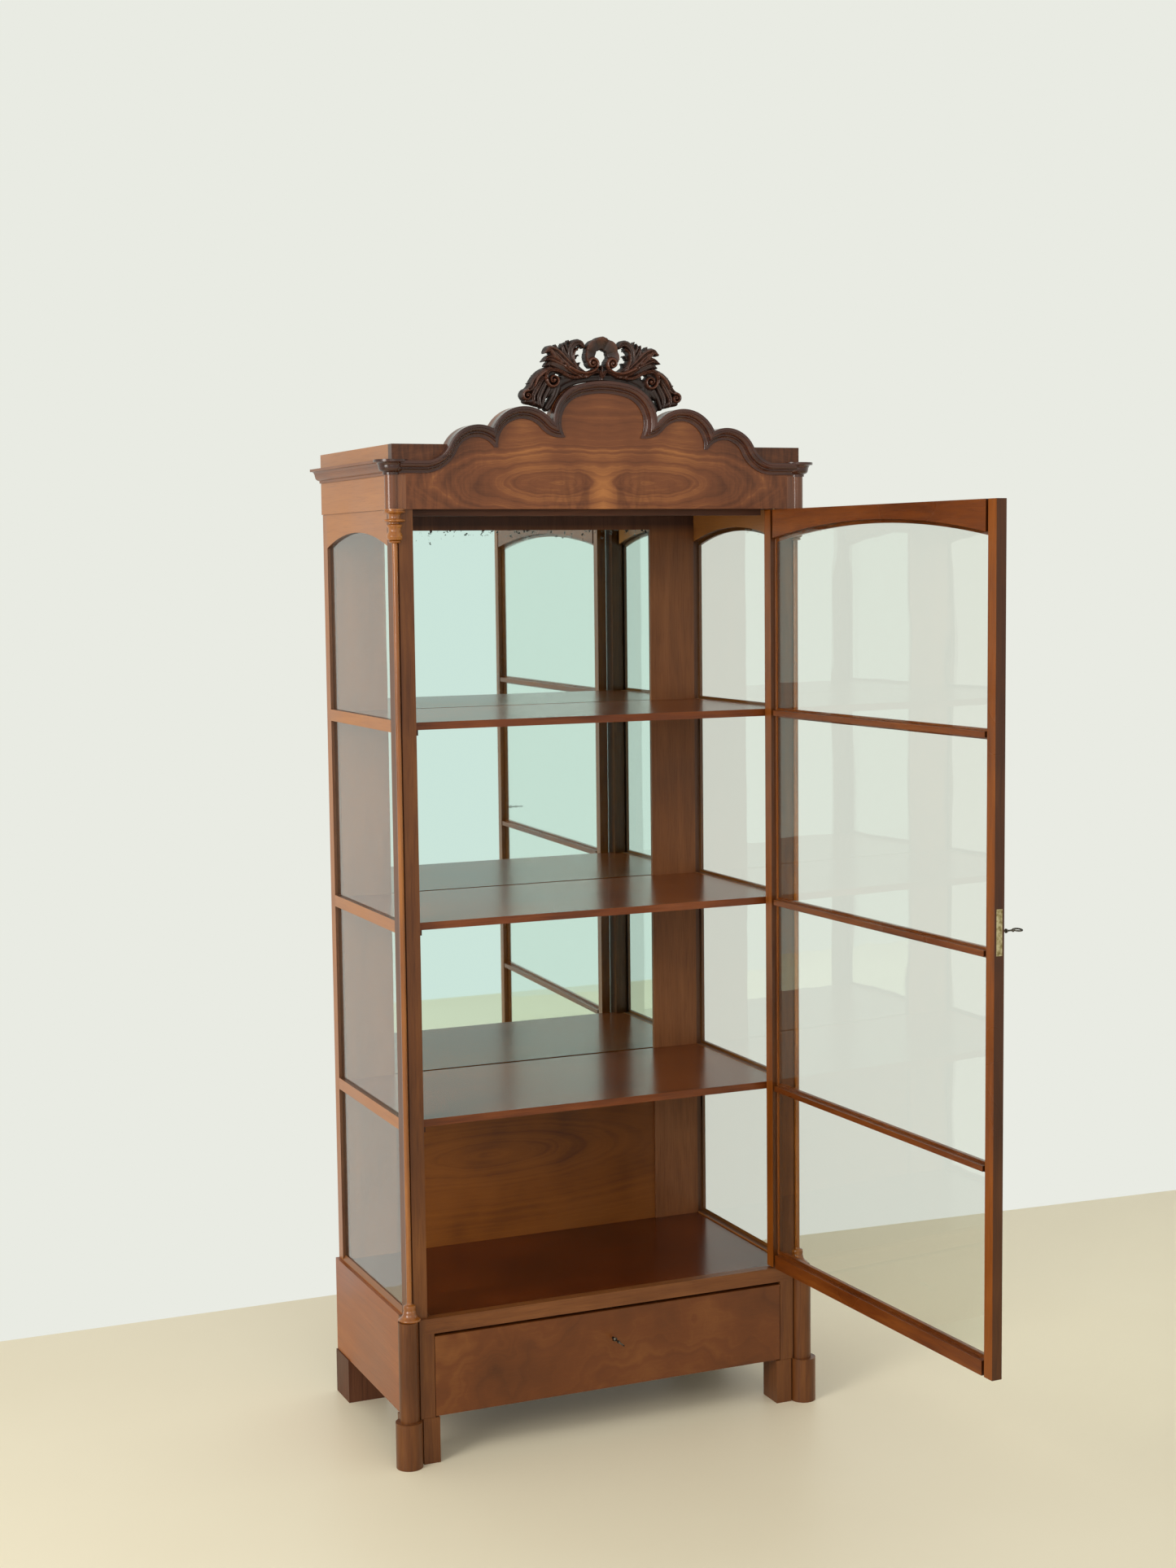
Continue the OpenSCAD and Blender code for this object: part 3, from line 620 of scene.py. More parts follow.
@dataclass(frozen=True)
class WornMetal(Finish):
    """Old lock metal: dull where handled, darker with tarnish in soft spots."""

    name: str
    bright: str
    tarnish: str
    roughness: float = 0.42

    def surface(self, tree: Tree) -> bpy.types.Node:
        """Tarnish in soft spots a few millimetres across, over filed metal."""
        spot = noise(tree, own_place(tree), 7.0, Detail=5.0)
        amount = ranged(tree, spot, 0.38, 0.66)
        return add(tree, "ShaderNodeBsdfPrincipled", {
            "Base Color": blend(tree, amount, self.bright, self.tarnish), "Metallic": 1.0,
            "Roughness": ranged(tree, amount, 0.0, 1.0, self.roughness - 0.08, self.roughness + 0.2),
            "Normal": bumped(tree, spot, 0.2, 0.0002)})


@dataclass(frozen=True)
class PaleBoards(Finish):
    """Pale worn boards of the room, with a faint unevenness."""

    name: str = "pale_floor_boards"
    colour: str = "#f3e9d0"
    shade: str = "#ebdfc4"
    roughness: float = 0.42
    cloud_mm: float = 1000 / 1.3

    def surface(self, tree: Tree) -> bpy.types.Node:
        """Two close tones in large soft clouds."""
        cloud = noise(tree, own_place(tree), self.cloud_mm, Detail=3.0)
        return add(tree, "ShaderNodeBsdfPrincipled", {
            "Base Color": blend(tree, cloud, self.colour, self.shade), "Roughness": self.roughness,
            "Specular IOR Level": 0.3})


# each wood is given its dark, middle and light tone; at rest the door stands this far past square
OPEN_BY = math.radians(3)
FREE_EDGE = (math.sin(OPEN_BY), -math.cos(OPEN_BY), 0.0)
SIDEWAYS = (1.0, 0.0, 0.0)
GLOSSY = {"roughness": 0.2, "coat": 0.5, "shine": 0.4}
RAW = {"band_mm": 24.0, "roughness": 0.6, "coat": 0.0, "pores": 0.5}
LEVEL = {"band_mm": 22.0, "pores": 0.5, "even": True}
FRONT = PolishedMahogany("polished_mahogany_upright", "#46240f", "#5f3517", "#784820")
FRONT_ACROSS = PolishedMahogany("polished_mahogany_across", "#502a12", "#6b3d1b", "#825029", Grain.ACROSS)
# side boards get painted shade on their faces that turn away from the side, such as the front-facing reveals
SIDE = PolishedMahogany("polished_mahogany_side", "#814b27", "#9c602d", "#b07339", contrast=0.6, shine=0.4,
                        lit_face_way=SIDEWAYS)
SIDE_DEEP = PolishedMahogany("polished_mahogany_side_deep", "#85502a", "#a0642f", "#b4773c", Grain.DEEP, 24.0,
                             contrast=0.5, pores=0.25, shine=0.4, lit_face_way=SIDEWAYS)
BASE_SIDE = PolishedMahogany("base_side_mahogany", "#6c3513", "#8c4a1c", "#a8632b", Grain.DEEP, 40.0,
                             contrast=0.75, pores=0.3, shine=0.35)
# the rear feet stand in shadow under the case: their darker wood is painted shade
SHADED_REAR_FOOT = PolishedMahogany("painted_shade_rear_foot", "#3a1f12", "#55301d", "#6a4029", roughness=0.5, coat=0.0)
DOOR = PolishedMahogany("door_mahogany_upright", "#5c2b09", "#7d410f", "#96541a", roughness=0.3,
                        edge_way=FREE_EDGE)
DOOR_RAIL = PolishedMahogany("door_mahogany_rail", "#50240a", "#6b340d", "#854816", Grain.DEEP, roughness=0.3,
                             edge_way=FREE_EDGE)
TURNED = PolishedMahogany("turned_mahogany", "#5a2e0e", "#864c1a", "#ac6c28", pores=0.3, **GLOSSY)
FRIEZE_COLUMN = PolishedMahogany("frieze_column_mahogany", "#4a250e", "#683716", "#855026", **GLOSSY)
MOULDED = PolishedMahogany("dark_moulding", "#200e08", "#38190f", "#542c1b", Grain.ACROSS, roughness=0.22,
                           coat=0.5, pores=0.2)
# a lighter copy of the dark moulding for the side runs: the extra lightness is painted light from the left
# lamp
MOULDED_LIT_RUN = PolishedMahogany("dark_moulding_painted_light_run", "#5a331c", "#7a4a2c", "#925f3a", Grain.DEEP, coat=0.1,
                                pores=0.1)
FLOOR_BOARD = PolishedMahogany("floor_board_mahogany", "#2c0e03", "#481a05", "#632b0b", Grain.ACROSS,
                               roughness=0.22, coat=0.2, **LEVEL)
SHELF = PolishedMahogany("shelf_mahogany", "#4a210e", "#703816", "#884c26", Grain.ACROSS, roughness=0.24,
                         coat=0.1, **LEVEL)
# the back board's top band, above 1738 mm, gets painted shade where it lies in shadow under the head
BACK = PolishedMahogany("back_board_mahogany", "#603920", "#7b4b2a", "#8f5c37", band_mm=26.0, roughness=0.42,
                        coat=0.05, painted_shade_above=1738.0)
INNER = PolishedMahogany("unpolished_inner_wood", "#2a150c", "#432516", "#593522", Grain.ACROSS, **RAW)
INNER_UP = PolishedMahogany("unpolished_inner_upright", "#2a150c", "#432516", "#593522", **RAW)
PEDIMENT = SawnFigure("bookmatched_crotch_veneer", "#432210", "#703f22", "#a36838", (95, 1815), 0.26,
                      10.0, 30.0, mirrored=True, plume=0.45, spread=0.46)
DRAWER = SawnFigure("figured_drawer_veneer", "#46240d", "#663615", "#835024", (120, 20), 0.6, 60.0, 200.0,
                    spread=0.56, calm_mm=500.0)
PANEL = SawnFigure("flat_sawn_panel", "#42200b", "#723e10", "#824b19", (-85, 455), 0.2, 9.0, 14.0,
                   roughness=0.42, coat=0.05, spread=0.44, calm_mm=45.0)
CARVED = StainedCarving()
SIDE_GLASS = DrawnGlass("drawn_glass_side")
DOOR_GLASS = DrawnGlass("drawn_glass_door", wave_mm=90.0)
MIRROR = SilveredMirror()
BRASS = WornMetal("aged_brass", "#cabd95", "#8f7f55")
IRON = WornMetal("dark_forged_iron", "#6a655c", "#2c2926")

# what the CAD nodes that stay in sight are finished in; PAIRED names have a _left and a _right node
BOTH_SIDES = ("left", "right")
PAIRED: dict[Finish, tuple[str, ...]] = {
    FRONT: ("foot_front", "base_post", "corner_post"), BASE_SIDE: ("base_side",), INNER: ("runner",),
    SIDE: ("rear_stile",), SIDE_DEEP: ("arch_rail", "side_rails", "top_side"), SIDE_GLASS: ("side_glass",),
}
SINGLE: dict[Finish, tuple[str, ...]] = {
    SHADED_REAR_FOOT: ("rear_feet",), FRONT_ACROSS: ("front_rail",), FLOOR_BOARD: ("floor_board",),
    DRAWER: ("drawer_front",), INNER: ("base_back", "drawer_sides", "drawer_back", "drawer_bottom",
                                       "shelf_cleats", "head_board", "top_back"),
    INNER_UP: ("mirror_back",), IRON: ("drawer_lock",), BACK: ("back_frame",), MIRROR: ("mirror_glass",),
    PANEL: ("lower_panel",), SHELF: ("shelf_lower", "shelf_middle", "shelf_upper"),
    FRIEZE_COLUMN: ("frieze_columns",), PEDIMENT: ("pediment_board",),
    DOOR: ("door_hinge_stile", "door_lock_stile"),
    DOOR_RAIL: ("door_top_rail", "door_bottom_rail", "door_bars"), DOOR_GLASS: ("door_glass",),
    BRASS: ("drawer_bolt", "door_pins", "door_lock", "door_lock_screws", "door_bolt"),
}


def dress_cad() -> None:
    """Gives every CAD node that stays in sight its own finish."""
    named = [(f"{node}_{side}", finish) for finish, nodes in PAIRED.items() for node in nodes
             for side in BOTH_SIDES]
    named += [(node, finish) for finish, nodes in SINGLE.items() for node in nodes]
    for node, finish in named:
        slots = frame["nodes"][node].data.materials
        slots.clear()
        slots.append(finish.make())
        LOG.info("%s is finished in %s", node, finish.name)


# ---------------------------------------------------------------- turned columns


@dataclass
class CornerColumns:
    """The long turned columns on the front corners of the glazed body."""

    head_r: float = 19.5
    shaft_r: float = 5.0

    def profile(self, low: float, high: float) -> np.ndarray:
        """The turner's profile: bell and drum at the foot, slender shaft, urn and discs at the head.

        Args:
            low, high: heights of the column's foot and head.
        Returns:
            Rows of radius and height.
        """
        d, s = self.head_r, self.shaft_r
        foot = [(0, 0, 0), (d, 0, -0.3), (d, 5, 0.14), (d - 7.5, 17, 0), (d - 9, 20, 0),
                (d - 8.3, 20.4, -0.05), (d - 8.3, 28.6, 0), (d - 9, 29.4, 0), (s + 2, 30.6, 0.15), (s, 34, 0)]
        head = [(s, -61, 0), (d - 9.8, -60, 0), (d - 9, -59.4, -0.35), (d - 9, -57, 0), (s + 3, -56, -0.22),
                (d - 5.4, -50.5, -0.2), (d - 5.4, -47, -0.03), (d - 8.2, -40, 0.04), (d - 7.8, -34, -0.02),
                (d - 6, -30.5, -0.3), (d - 7.4, -27.6, 0), (d - 10.4, -26.6, 0.1), (d - 10.4, -23.4, 0),
                (d - 1, -22.4, -0.36), (d - 1, -18.4, 0), (d - 8.5, -17.2, 0.14), (d - 7, -7.6, 0),
                (d - 0.8, -6.8, 0), (d, -6, -0.3), (d, -4.2, 0), (d - 1.6, -3.7, 0), (d - 1.6, -2.4, 0),
                (d, -1.9, 0), (d, 0, 0), (0, 0, 0)]
        return np.concatenate([bowed(foot) + [0, low], bowed(head) + [0, high]])

    def build(self) -> None:
        """Turns both columns where the CAD columns stand."""
        for side, sign in zip(BOTH_SIDES, (1, -1)):
            low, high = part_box(f"column_{side}")
            edge = low.x if sign > 0 else high.x
            x = (edge - MIDDLE) / MM + sign * self.head_r
            y = low.y / MM + self.head_r
            verts, faces = lathe(self.profile(low.z / MM, high.z / MM), x, y)
            piece(f"turned_column_{side}", [(place(verts), faces)], TURNED, "case",
                  [f"column_{side}"], 40)


# ---------------------------------------------------------------- mouldings


@dataclass
class LobedPediment:
    """The moulding planted round the lobed head: a cornice section carried round seven arcs."""

    run_z: float = 1853.0
    end_x: float = 400.0
    face_y: float = -440.5
    outer: Triple = (250.0, 2.0, 63.0)
    mid: Triple = (160.0, 29.0, 70.0)
    centre: Triple = (33.0, 71.0, 72.0)
    drop: float = 120.0
    sweep_r: float = 50.0
    valley_x: float = 85.0
    valley_r: float = 31.0
    cusp_z: float = 25.0
    steps: int = 40

    def section(self) -> np.ndarray:
        """Rows of (distance in from the edge, height off the board), a closed loop from the edge."""
        return bowed([(0, 0, 0), (0, 16.6, 0), (0.8, 17, 0), (5.4, 17, 0), (5.8, 15.6, 0), (6.2, 15.2, 0.24),
                      (12.2, 8.6, 0), (12.4, 8.2, 0), (14.2, 8.2, 0), (14.4, 7.6, -0.2), (19.0, 3.4, 0),
                      (19.2, 3.0, 0), (21.4, 3.0, 0), (21.8, 2.6, 0), (21.9, 0, 0)])

    def arc(self, circle: tuple[Any, Any, Any], start: np.ndarray, end: np.ndarray) -> np.ndarray:
        """Points on a circle from one angle to another: centre plus radius times (cos, sin).

        Args:
            circle: x and z of the centre, and one radius for each row of the section.
            start, end: angles for each row.
        Returns:
            An array (row, step, 2).
        """
        t = np.linspace(0, 1, self.steps)[None, :]
        angle = start[:, None] + (end - start)[:, None] * t
        r = circle[2][:, None]
        return np.stack([circle[0] + r * np.cos(angle), circle[1] + r * np.sin(angle)], 2)

    def crossing(self, r1: np.ndarray, r2: np.ndarray, gap: float) -> tuple[np.ndarray, np.ndarray]:
        """Where two circles cross: how far along the line of centres, and how far off it (0 if apart)."""
        along = (r1 ** 2 - r2 ** 2 + gap ** 2) / (2 * gap)
        return along, np.sqrt(np.maximum(r1 ** 2 - along ** 2, 0))

    def paths(self, d: np.ndarray) -> np.ndarray:
        """The outline moved in by each distance d, as rows of points from right end to left end.

        Round arcs lose d from their radius and hollow arcs gain it. Neighbouring arcs are cut
        where their circles cross, so each inner corner is a true mitre.

        Args:
            d: how far in from the edge each row runs.
        Returns:
            An array (row, point, 2) of x and z, with z from the straight run's height.
        """
        one = np.ones_like(d)
        xo, zo, ro = self.outer
        xm, zm, rm = self.mid
        xc, zc, rc = self.centre
        xs, zs = xo + math.sqrt((ro + self.sweep_r) ** 2 - (self.sweep_r - zo) ** 2), self.sweep_r
        run = np.linspace(self.end_x, xs, 4)[None, :]
        line = np.stack(np.broadcast_arrays(run, -d[:, None]), 2)
        sweep = self.arc((xs, zs, self.sweep_r + d), -np.pi / 2 * one, math.atan2(zo - zs, xo - xs) * one)
        gap = math.hypot(xo - xm, zo - zm)
        along, rise = self.crossing(ro - d, rm - d, gap)
        meet_z = zo + along * (zm - zo) / gap + rise * (xo - xm) / gap
        cut = np.maximum(np.where(rise > 0, meet_z, self.cusp_z), self.cusp_z)
        low_lobe = self.arc((xo, zo, ro - d), math.atan2(zs - zo, xs - xo) * one,
                            np.pi - np.arcsin((cut - zo) / (ro - d)))
        xv, rv = self.valley_x, self.valley_r
        zv = zm + math.sqrt((rm + rv) ** 2 - (xm - xv) ** 2)
        touch = math.atan2(zv - zm, xv - xm)
        mid_lobe = self.arc((xm, zm, rm - d), np.arcsin((cut - zm) / (rm - d)), touch * one)
        gap = math.hypot(xv - xc, zv - zc)
        along, rise = self.crossing(rc - d, rv + d, gap)
        px = xc + along * (xv - xc) / gap + rise * (zv - zc) / gap
        pz = zc + along * (zv - zc) / gap - rise * (xv - xc) / gap
        valley = self.arc((xv, zv, rv + d), (touch - np.pi) * one, np.arctan2(pz - zv, px - xv))
        arch = math.atan2(self.drop, xc)
        shoulder = self.arc((xc, zc, rc - d), np.arctan2(pz - zc, px - xc), arch * one)
        half = np.concatenate([line, sweep, low_lobe, mid_lobe, valley, shoulder], 1)
        crown = rc + math.hypot(xc, self.drop) - d
        top = self.arc((0.0, zc - self.drop, crown), arch * one, (np.pi - arch) * one)
        other = half[:, ::-1] * [-1, 1]
        return np.concatenate([half, top[:, 1:-1], other], 1)

    def build(self) -> None:
        """Carries the section round the outline."""
        section = self.section()
        flat = self.paths(section[:, 0])
        y = np.broadcast_to(self.face_y - section[:, 1][:, None], flat.shape[:2])
        rings = np.stack([flat[..., 0], y, flat[..., 1] + self.run_z], 2).transpose(1, 0, 2)
        verts, faces = skin(rings)
        piece("lobed_moulding", [(place(verts), faces)], MOULDED, "case",
              ["pediment_moulding"], 30)


@dataclass
class SideCornices:
    """The cornice along each side, and the round break it makes over the corner column."""

    low_z: float = 1828.0
    face_x: float = 411.0
    round_x: float = 410.5
    round_y: float = -432.5
    back_y: float = -4.0

    def section(self, inner: float, start: float, reach: float) -> np.ndarray:
        """Rows of (distance out, z): fillet, hollow, fillet, quarter round and top fillet.

        Args:
            inner: distance out of the hidden back of the section.
            start: distance out of the lowest fillet.
            reach: how far the top fillet stands beyond the lowest.
        Returns:
            The closed section.
        """
        s, k = start, reach / 19.0
        return bowed([(inner, 0, 0), (s, 0, 0), (s, 4, 0), (s + 0.6 * k, 4.6, -0.2), (s + 9 * k, 13.6, 0),
                      (s + 9.6 * k, 13.8, 0), (s + 9.6 * k, 16.6, 0), (s + 10.4 * k, 17, 0.24),
                      (s + 18 * k, 22, 0), (s + 19 * k, 22.6, 0), (s + 19 * k, 27, 0),
                      (inner, 27, 0)]) + [0, self.low_z]

    def build(self) -> None:
        """Runs the section along both sides and turns it over both corners."""
        run = self.section(0.0, 3.0, 19.0)
        y = np.linspace(self.back_y, self.round_y, 5)
        for side, sign in zip(BOTH_SIDES, (-1, 1)):
            x = sign * (self.face_x + run[:, 0])
            rings = np.stack(np.broadcast_arrays(x[None, :], y[:, None], run[:, 1][None, :]), 2)
            straight, corners = skin(rings)
            turned, round_faces = lathe(self.section(0.0, 14.5, 16.5), sign * self.round_x, self.round_y)
            # the runs take the lighter copy of the moulding, painted light, and the round breaks take the
            # dark moulding
            for name, verts, faces, finish in (("run", straight, corners, MOULDED_LIT_RUN),
                                               ("break", turned, round_faces, MOULDED)):
                piece(f"cornice_{name}_{side}", [(place(verts), faces)], finish, "case",
                      [f"cornice_{side}"], 30)


# ---------------------------------------------------------------- carved crest


@dataclass
class CarvedCrest:
    """The pierced crest: a fluted shell over two scrolls, with leaves that sweep out and down.

    The carving is a relief on a grid. Every stroke of the carver is a curve with a width and a
    height that change along it. The outline is where the nearest stroke's width runs out.
    """

    base_z: float = 1847.0
    back_y: float = -425.0
    plate: float = 8.0
    relief: float = 18.5
    pitch: float = 1.0
    half_width: float = 163.0
    low: float = 92.0
    high: float = 235.0

    def curve(self, points: Sequence[tuple[float, float]], count: int = 60) -> np.ndarray:
        """A smooth curve through points: a Catmull-Rom spline, each span the usual cubic of four points.

        Args:
            points: what the curve goes through.
            count: how many points it is given as.
        Returns:
            The curve's points.
        """
        p = np.array(points, float)
        p = np.concatenate([[2 * p[0] - p[1]], p, [2 * p[-1] - p[-2]]])
        t = np.linspace(0, len(p) - 3 - 1e-9, count)
        k, u = t.astype(int), (t % 1)[:, None]
        a, b, c, d = p[k], p[k + 1], p[k + 2], p[k + 3]
        square, cube = 2 * a - 5 * b + 4 * c - d, 3 * b - a - 3 * c + d
        return 0.5 * (2 * b + (c - a) * u + square * u ** 2 + cube * u ** 3)

    def spiral(self, x: float, z: float, r: float, start: float, turns: float) -> list[tuple[float, float]]:
        """Points of a volute: the angle runs on while the radius shrinks evenly to a quarter.

        Args:
            x, z: the eye of the volute.
            r: the radius at its start.
            start: the angle there in degrees.
            turns: how often it goes round, negative for clockwise.
        Returns:
            The volute's points.
        """
        t = np.linspace(0, 1, int(10 * abs(turns)) + 4)
        a, rr = math.radians(start) + 2 * np.pi * turns * t, r * (1 - 0.75 * t)
        return list(zip(x + rr * np.cos(a), z + rr * np.sin(a)))

    def stroke(self, grid: np.ndarray, points: Sequence[tuple[float, float]], w0: float, w1: float,
               lift: float, groove: float, belly: float = 0.0) -> tuple[np.ndarray, np.ndarray]:
        """Inside distance and height of one stroke over the grid.

        Inside distance is the stroke's width less the distance to its curve. The height is a
        half round with an optional vein: lift times root of (1 - q squared), less a narrow dip.

        Args:
            grid: x and z of every grid point.
            points: the curve.
            w0, w1: half widths at the start and the end.
            lift: height at the middle line, as a share of the relief.
            groove: depth of the vein, as a share of the lift.
            belly: extra half width midway.
        Returns:
            The inside distance and the height.
        """
        line = self.curve(points)
        s = np.linspace(0, 1, len(line))
        width = w0 + (w1 - w0) * s + belly * 4 * s * (1 - s)
        far = np.hypot(grid[0][..., None] - line[:, 0], grid[1][..., None] - line[:, 1])
        nearest = np.argmax(width - far, axis=-1)
        gap = np.take_along_axis(far, nearest[..., None], -1)[..., 0]
        w = width[nearest]
        q = gap / w
        body = np.sqrt(np.clip(1 - q ** 2, 0, 1))
        return w - gap, lift * (body - groove * np.exp(-(q / 0.28) ** 2) * (w > 2.5))

    def shell(self, grid: np.ndarray) -> tuple[np.ndarray, np.ndarray]:
        """The fluted shell round the middle hole.

        Its rim swells with each flute, |cos| of the angle times the flute count, and its height
        falls from the rim to the hole.

        Args:
            grid: x and z of every grid point.
        Returns:
            The inside distance and the height.
        """
        dx, dz = grid[0], grid[1] - 200.0
        r, a = np.hypot(dx * 0.97, dz), np.arctan2(dx, dz)
        flute = np.abs(np.cos(a * 3.6))
        rim = 31.5 + 2.0 * flute + 1.5 * np.cos(a)
        hole = 10.5 + 1.2 * flute
        inside = np.minimum(rim - r, r - hole)
        inside = np.minimum(inside, (2.25 - np.abs(a)) * r)
        across = np.clip((r - hole) / (rim - hole), 0, 1)
        return inside, (0.35 + 0.55 * across ** 1.5) * (0.72 + 0.28 * flute ** 0.7)

    def strokes(self) -> list[tuple[Any, ...]]:
        """The carver's strokes on the right half: points, two half widths, lift, vein, belly."""
        teeth = [
            ([(47, 181), (44, 186), (41, 187)], 0.4), ([(52, 196), (48, 200), (44, 200)], 0.4),
            ([(54, 208), (49, 211), (45, 210)], 0.4), ([(134, 148), (142, 146), (147, 149)], 0.5),
            ([(122, 160), (131, 160), (136, 163)], 0.5),
        ]
        return [
            (self.spiral(20, 186, 10.5, -150, -1.35), 4.6, 2.2, 0.95, 0.0, 0.0),
            ([(20, 186), (20.5, 186.5)], 4.2, 4.0, 1.0, 0.0, 0.0),
            ([(0, 162), (6, 171), (16, 170), (34, 164), (54, 168), (72, 180)], 3.6, 5.4, 0.9, 0.35, 0.0),
            ([(12, 177), (24, 170), (44, 169), (66, 178)], 3.0, 4.0, 1.0, 0.0, 0.0),
            ([(0, 180), (0, 166), (0, 156)], 3.8, 5.0, 0.6, 0.0, 0.0),
            ([(34, 168), (50, 178), (61, 194), (62, 210), (54, 221), (43, 223), (36, 217)],
             4.4, 4.0, 0.66, 0.3, 3.6),
            ([(50, 176), (57, 192), (55, 206), (47, 214)], 2.6, 1.6, 0.75, 0.0, 1.0),
            ([(46, 172), (66, 190), (76, 206), (79, 220)], 4.0, 0.8, 0.66, 0.25, 4.5),
            ([(50, 172), (72, 190), (88, 204), (103, 210), (112, 205)], 4.5, 2.6, 0.85, 0.4, 4.8),
            ([(52, 170), (80, 186), (102, 194), (117, 188)], 4.5, 0.8, 0.8, 0.35, 4.4),
            ([(80, 186), (96, 200), (104, 208), (113, 204)], 3.0, 2.2, 0.9, 0.2, 2.0),
            ([(56, 166), (84, 178), (102, 184), (112, 180)], 4.4, 1.6, 0.6, 0.2, 3.4),
            ([(30, 162), (60, 160), (84, 170), (102, 173), (112, 165), (112, 153)], 3.4, 3.8, 0.95, 0.3, 0.6),
            (self.spiral(98, 154, 13.0, 0, -1.3), 4.0, 2.0, 0.9, 0.0, 0.0),
            ([(97, 154), (97.5, 154)], 4.6, 4.4, 1.0, 0.0, 0.0),
            ([(104, 175), (122, 165), (134, 152), (141, 140), (150, 134)], 5.0, 4.0, 0.75, 0.35, 3.0),
            ([(112, 171), (128, 158), (136, 142)], 3.0, 1.2, 0.9, 0.0, 1.5),
            (self.spiral(150, 125, 9.5, 100, -1.25), 4.0, 2.0, 0.85, 0.0, 0.0),
            ([(150, 125), (150.5, 125)], 3.6, 3.4, 0.95, 0.0, 0.0),
            ([(112, 150), (120, 136), (126, 122), (124, 108)], 5.0, 3.0, 0.6, 0.3, 3.0),
            ([(118, 158), (130, 140), (138, 124), (136, 110)], 4.0, 2.5, 0.75, 0.3, 3.0),
            ([(126, 110), (140, 115), (152, 115)], 4.5, 4.0, 0.5, 0.0, 2.0),
            ([(0, 157), (20, 156), (40, 152), (60, 146), (76, 138), (88, 128)], 5.0, 6.5, 0.28, 0.0, 3.0),
            ([(60, 158), (78, 152), (92, 142), (102, 134), (110, 126)], 7.0, 5.0, 0.34, 0.0, 3.0),
            ([(106, 138), (114, 124), (120, 106)], 5.0, 4.0, 0.5, 0.2, 0.0),
            ([(96, 168), (108, 160), (116, 146)], 6.0, 5.0, 0.35, 0.0, 0.0),
            ([(0, 163), (20, 162), (46, 159), (76, 161)], 4.5, 6.0, 0.3, 0.0, 0.0),
            ([(88, 140), (95, 123), (109, 104)], 8.5, 6.5, 0.4, 0.2, 0.0),
            ([(66, 206), (72, 216), (71, 223)], 3.6, 0.8, 0.6, 0.2, 1.0),
            ([(84, 200), (90, 212), (92, 218)], 3.6, 0.8, 0.6, 0.2, 1.6),
            ([(60, 206), (62, 218), (66, 226)], 3.6, 0.8, 0.6, 0.2, 1.0),
            *((points, 3.0, 0.6, lift, 0.0, 0.0) for points, lift in teeth),
        ]

    def lobes(self, grid: np.ndarray, pediment: LobedPediment) -> np.ndarray:
        """Distance above the lobed head, on which the crest stands: the least of its circles' distances.

        Args:
            grid: x and z of every grid point.
            pediment: the lobed head.
        Returns:
            The distance at each grid point.
        """
        x, z = np.abs(grid[0]), grid[1] + self.base_z - pediment.run_z
        xc, zc, rc = pediment.centre
        crown = rc + math.hypot(xc, pediment.drop)
        top = np.where(x * pediment.drop < (z - zc + pediment.drop) * xc,
                       np.hypot(x, z - zc + pediment.drop) - crown, 1e3)
        sides = [np.hypot(x - cx, z - cz) - r for cx, cz, r in (pediment.centre, pediment.mid)]
        return np.minimum(np.minimum(sides[0], sides[1]), top) - 0.4

    def build(self, pediment: LobedPediment) -> None:
        """Carves the relief, snaps its rim to the outline and closes it with a flat back.

        Args:
            pediment: the lobed head it stands on.
        """
        x = np.arange(-self.half_width, self.half_width + self.pitch, self.pitch)
        z = np.arange(self.low, self.high + self.pitch, self.pitch)
        grid = np.stack(np.meshgrid(x, z, indexing="ij"))
        mirror = np.stack([np.abs(grid[0]), grid[1]])
        inside, height = self.shell(grid)
        height = np.where(inside > 0, height, 0.0)
        for points, w0, w1, lift, groove, belly in self.strokes():
            near, up = self.stroke(mirror, points, w0, w1, lift, groove, belly)
            inside = np.maximum(inside, near)
            height = np.maximum(height, np.where(near > 0, up, 0.0))
        inside = np.minimum(inside, self.lobes(grid, pediment))
        kept = inside > 0
        gx, gz = np.gradient(inside, self.pitch)
        steep = np.maximum(gx ** 2 + gz ** 2, 0.25)
        rim = kept & ~(np.roll(kept, 1, 0) & np.roll(kept, -1, 0)
                       & np.roll(kept, 1, 1) & np.roll(kept, -1, 1))
        move = np.where(rim, np.clip(inside, 0, 1.2 * self.pitch) / steep, 0.0)
        px, pz = grid[0] - move * gx, grid[1] - move * gz
        edge = np.clip(inside / 2.2, 0, 1)
        front = self.plate + self.relief * np.clip(height, 0, 1) * np.sqrt(edge * (2 - edge))
        cells = quads(len(x), len(z), False, False)
        cells = cells[kept.ravel()[cells].all(1)]
        used, numbered = np.unique(cells, return_inverse=True)
        cells = numbered.reshape(cells.shape)
        flat = np.stack([px.ravel(), np.full(px.size, self.back_y), pz.ravel() + self.base_z], 1)[used]
        face = flat - np.outer(front.ravel()[used], [0, 1, 0])
        sides = np.concatenate([cells[:, [k, (k + 1) % 4]] for k in range(4)])
        keys = np.sort(sides, 1) @ [len(used), 1]
        _, first, shared = np.unique(keys, return_index=True, return_counts=True)
        open_sides = sides[first[shared == 1]]
        walls = np.concatenate([open_sides, open_sides[:, ::-1] + len(used)], 1)
        faces = np.concatenate([cells, cells[:, ::-1] + len(used), walls]).tolist()
        crest = piece("carved_crest", [(place(np.concatenate([face, flat])), [tuple(f) for f in faces])],
                      CARVED, "case", ["crest"], 50)
        self.store_relief(crest)

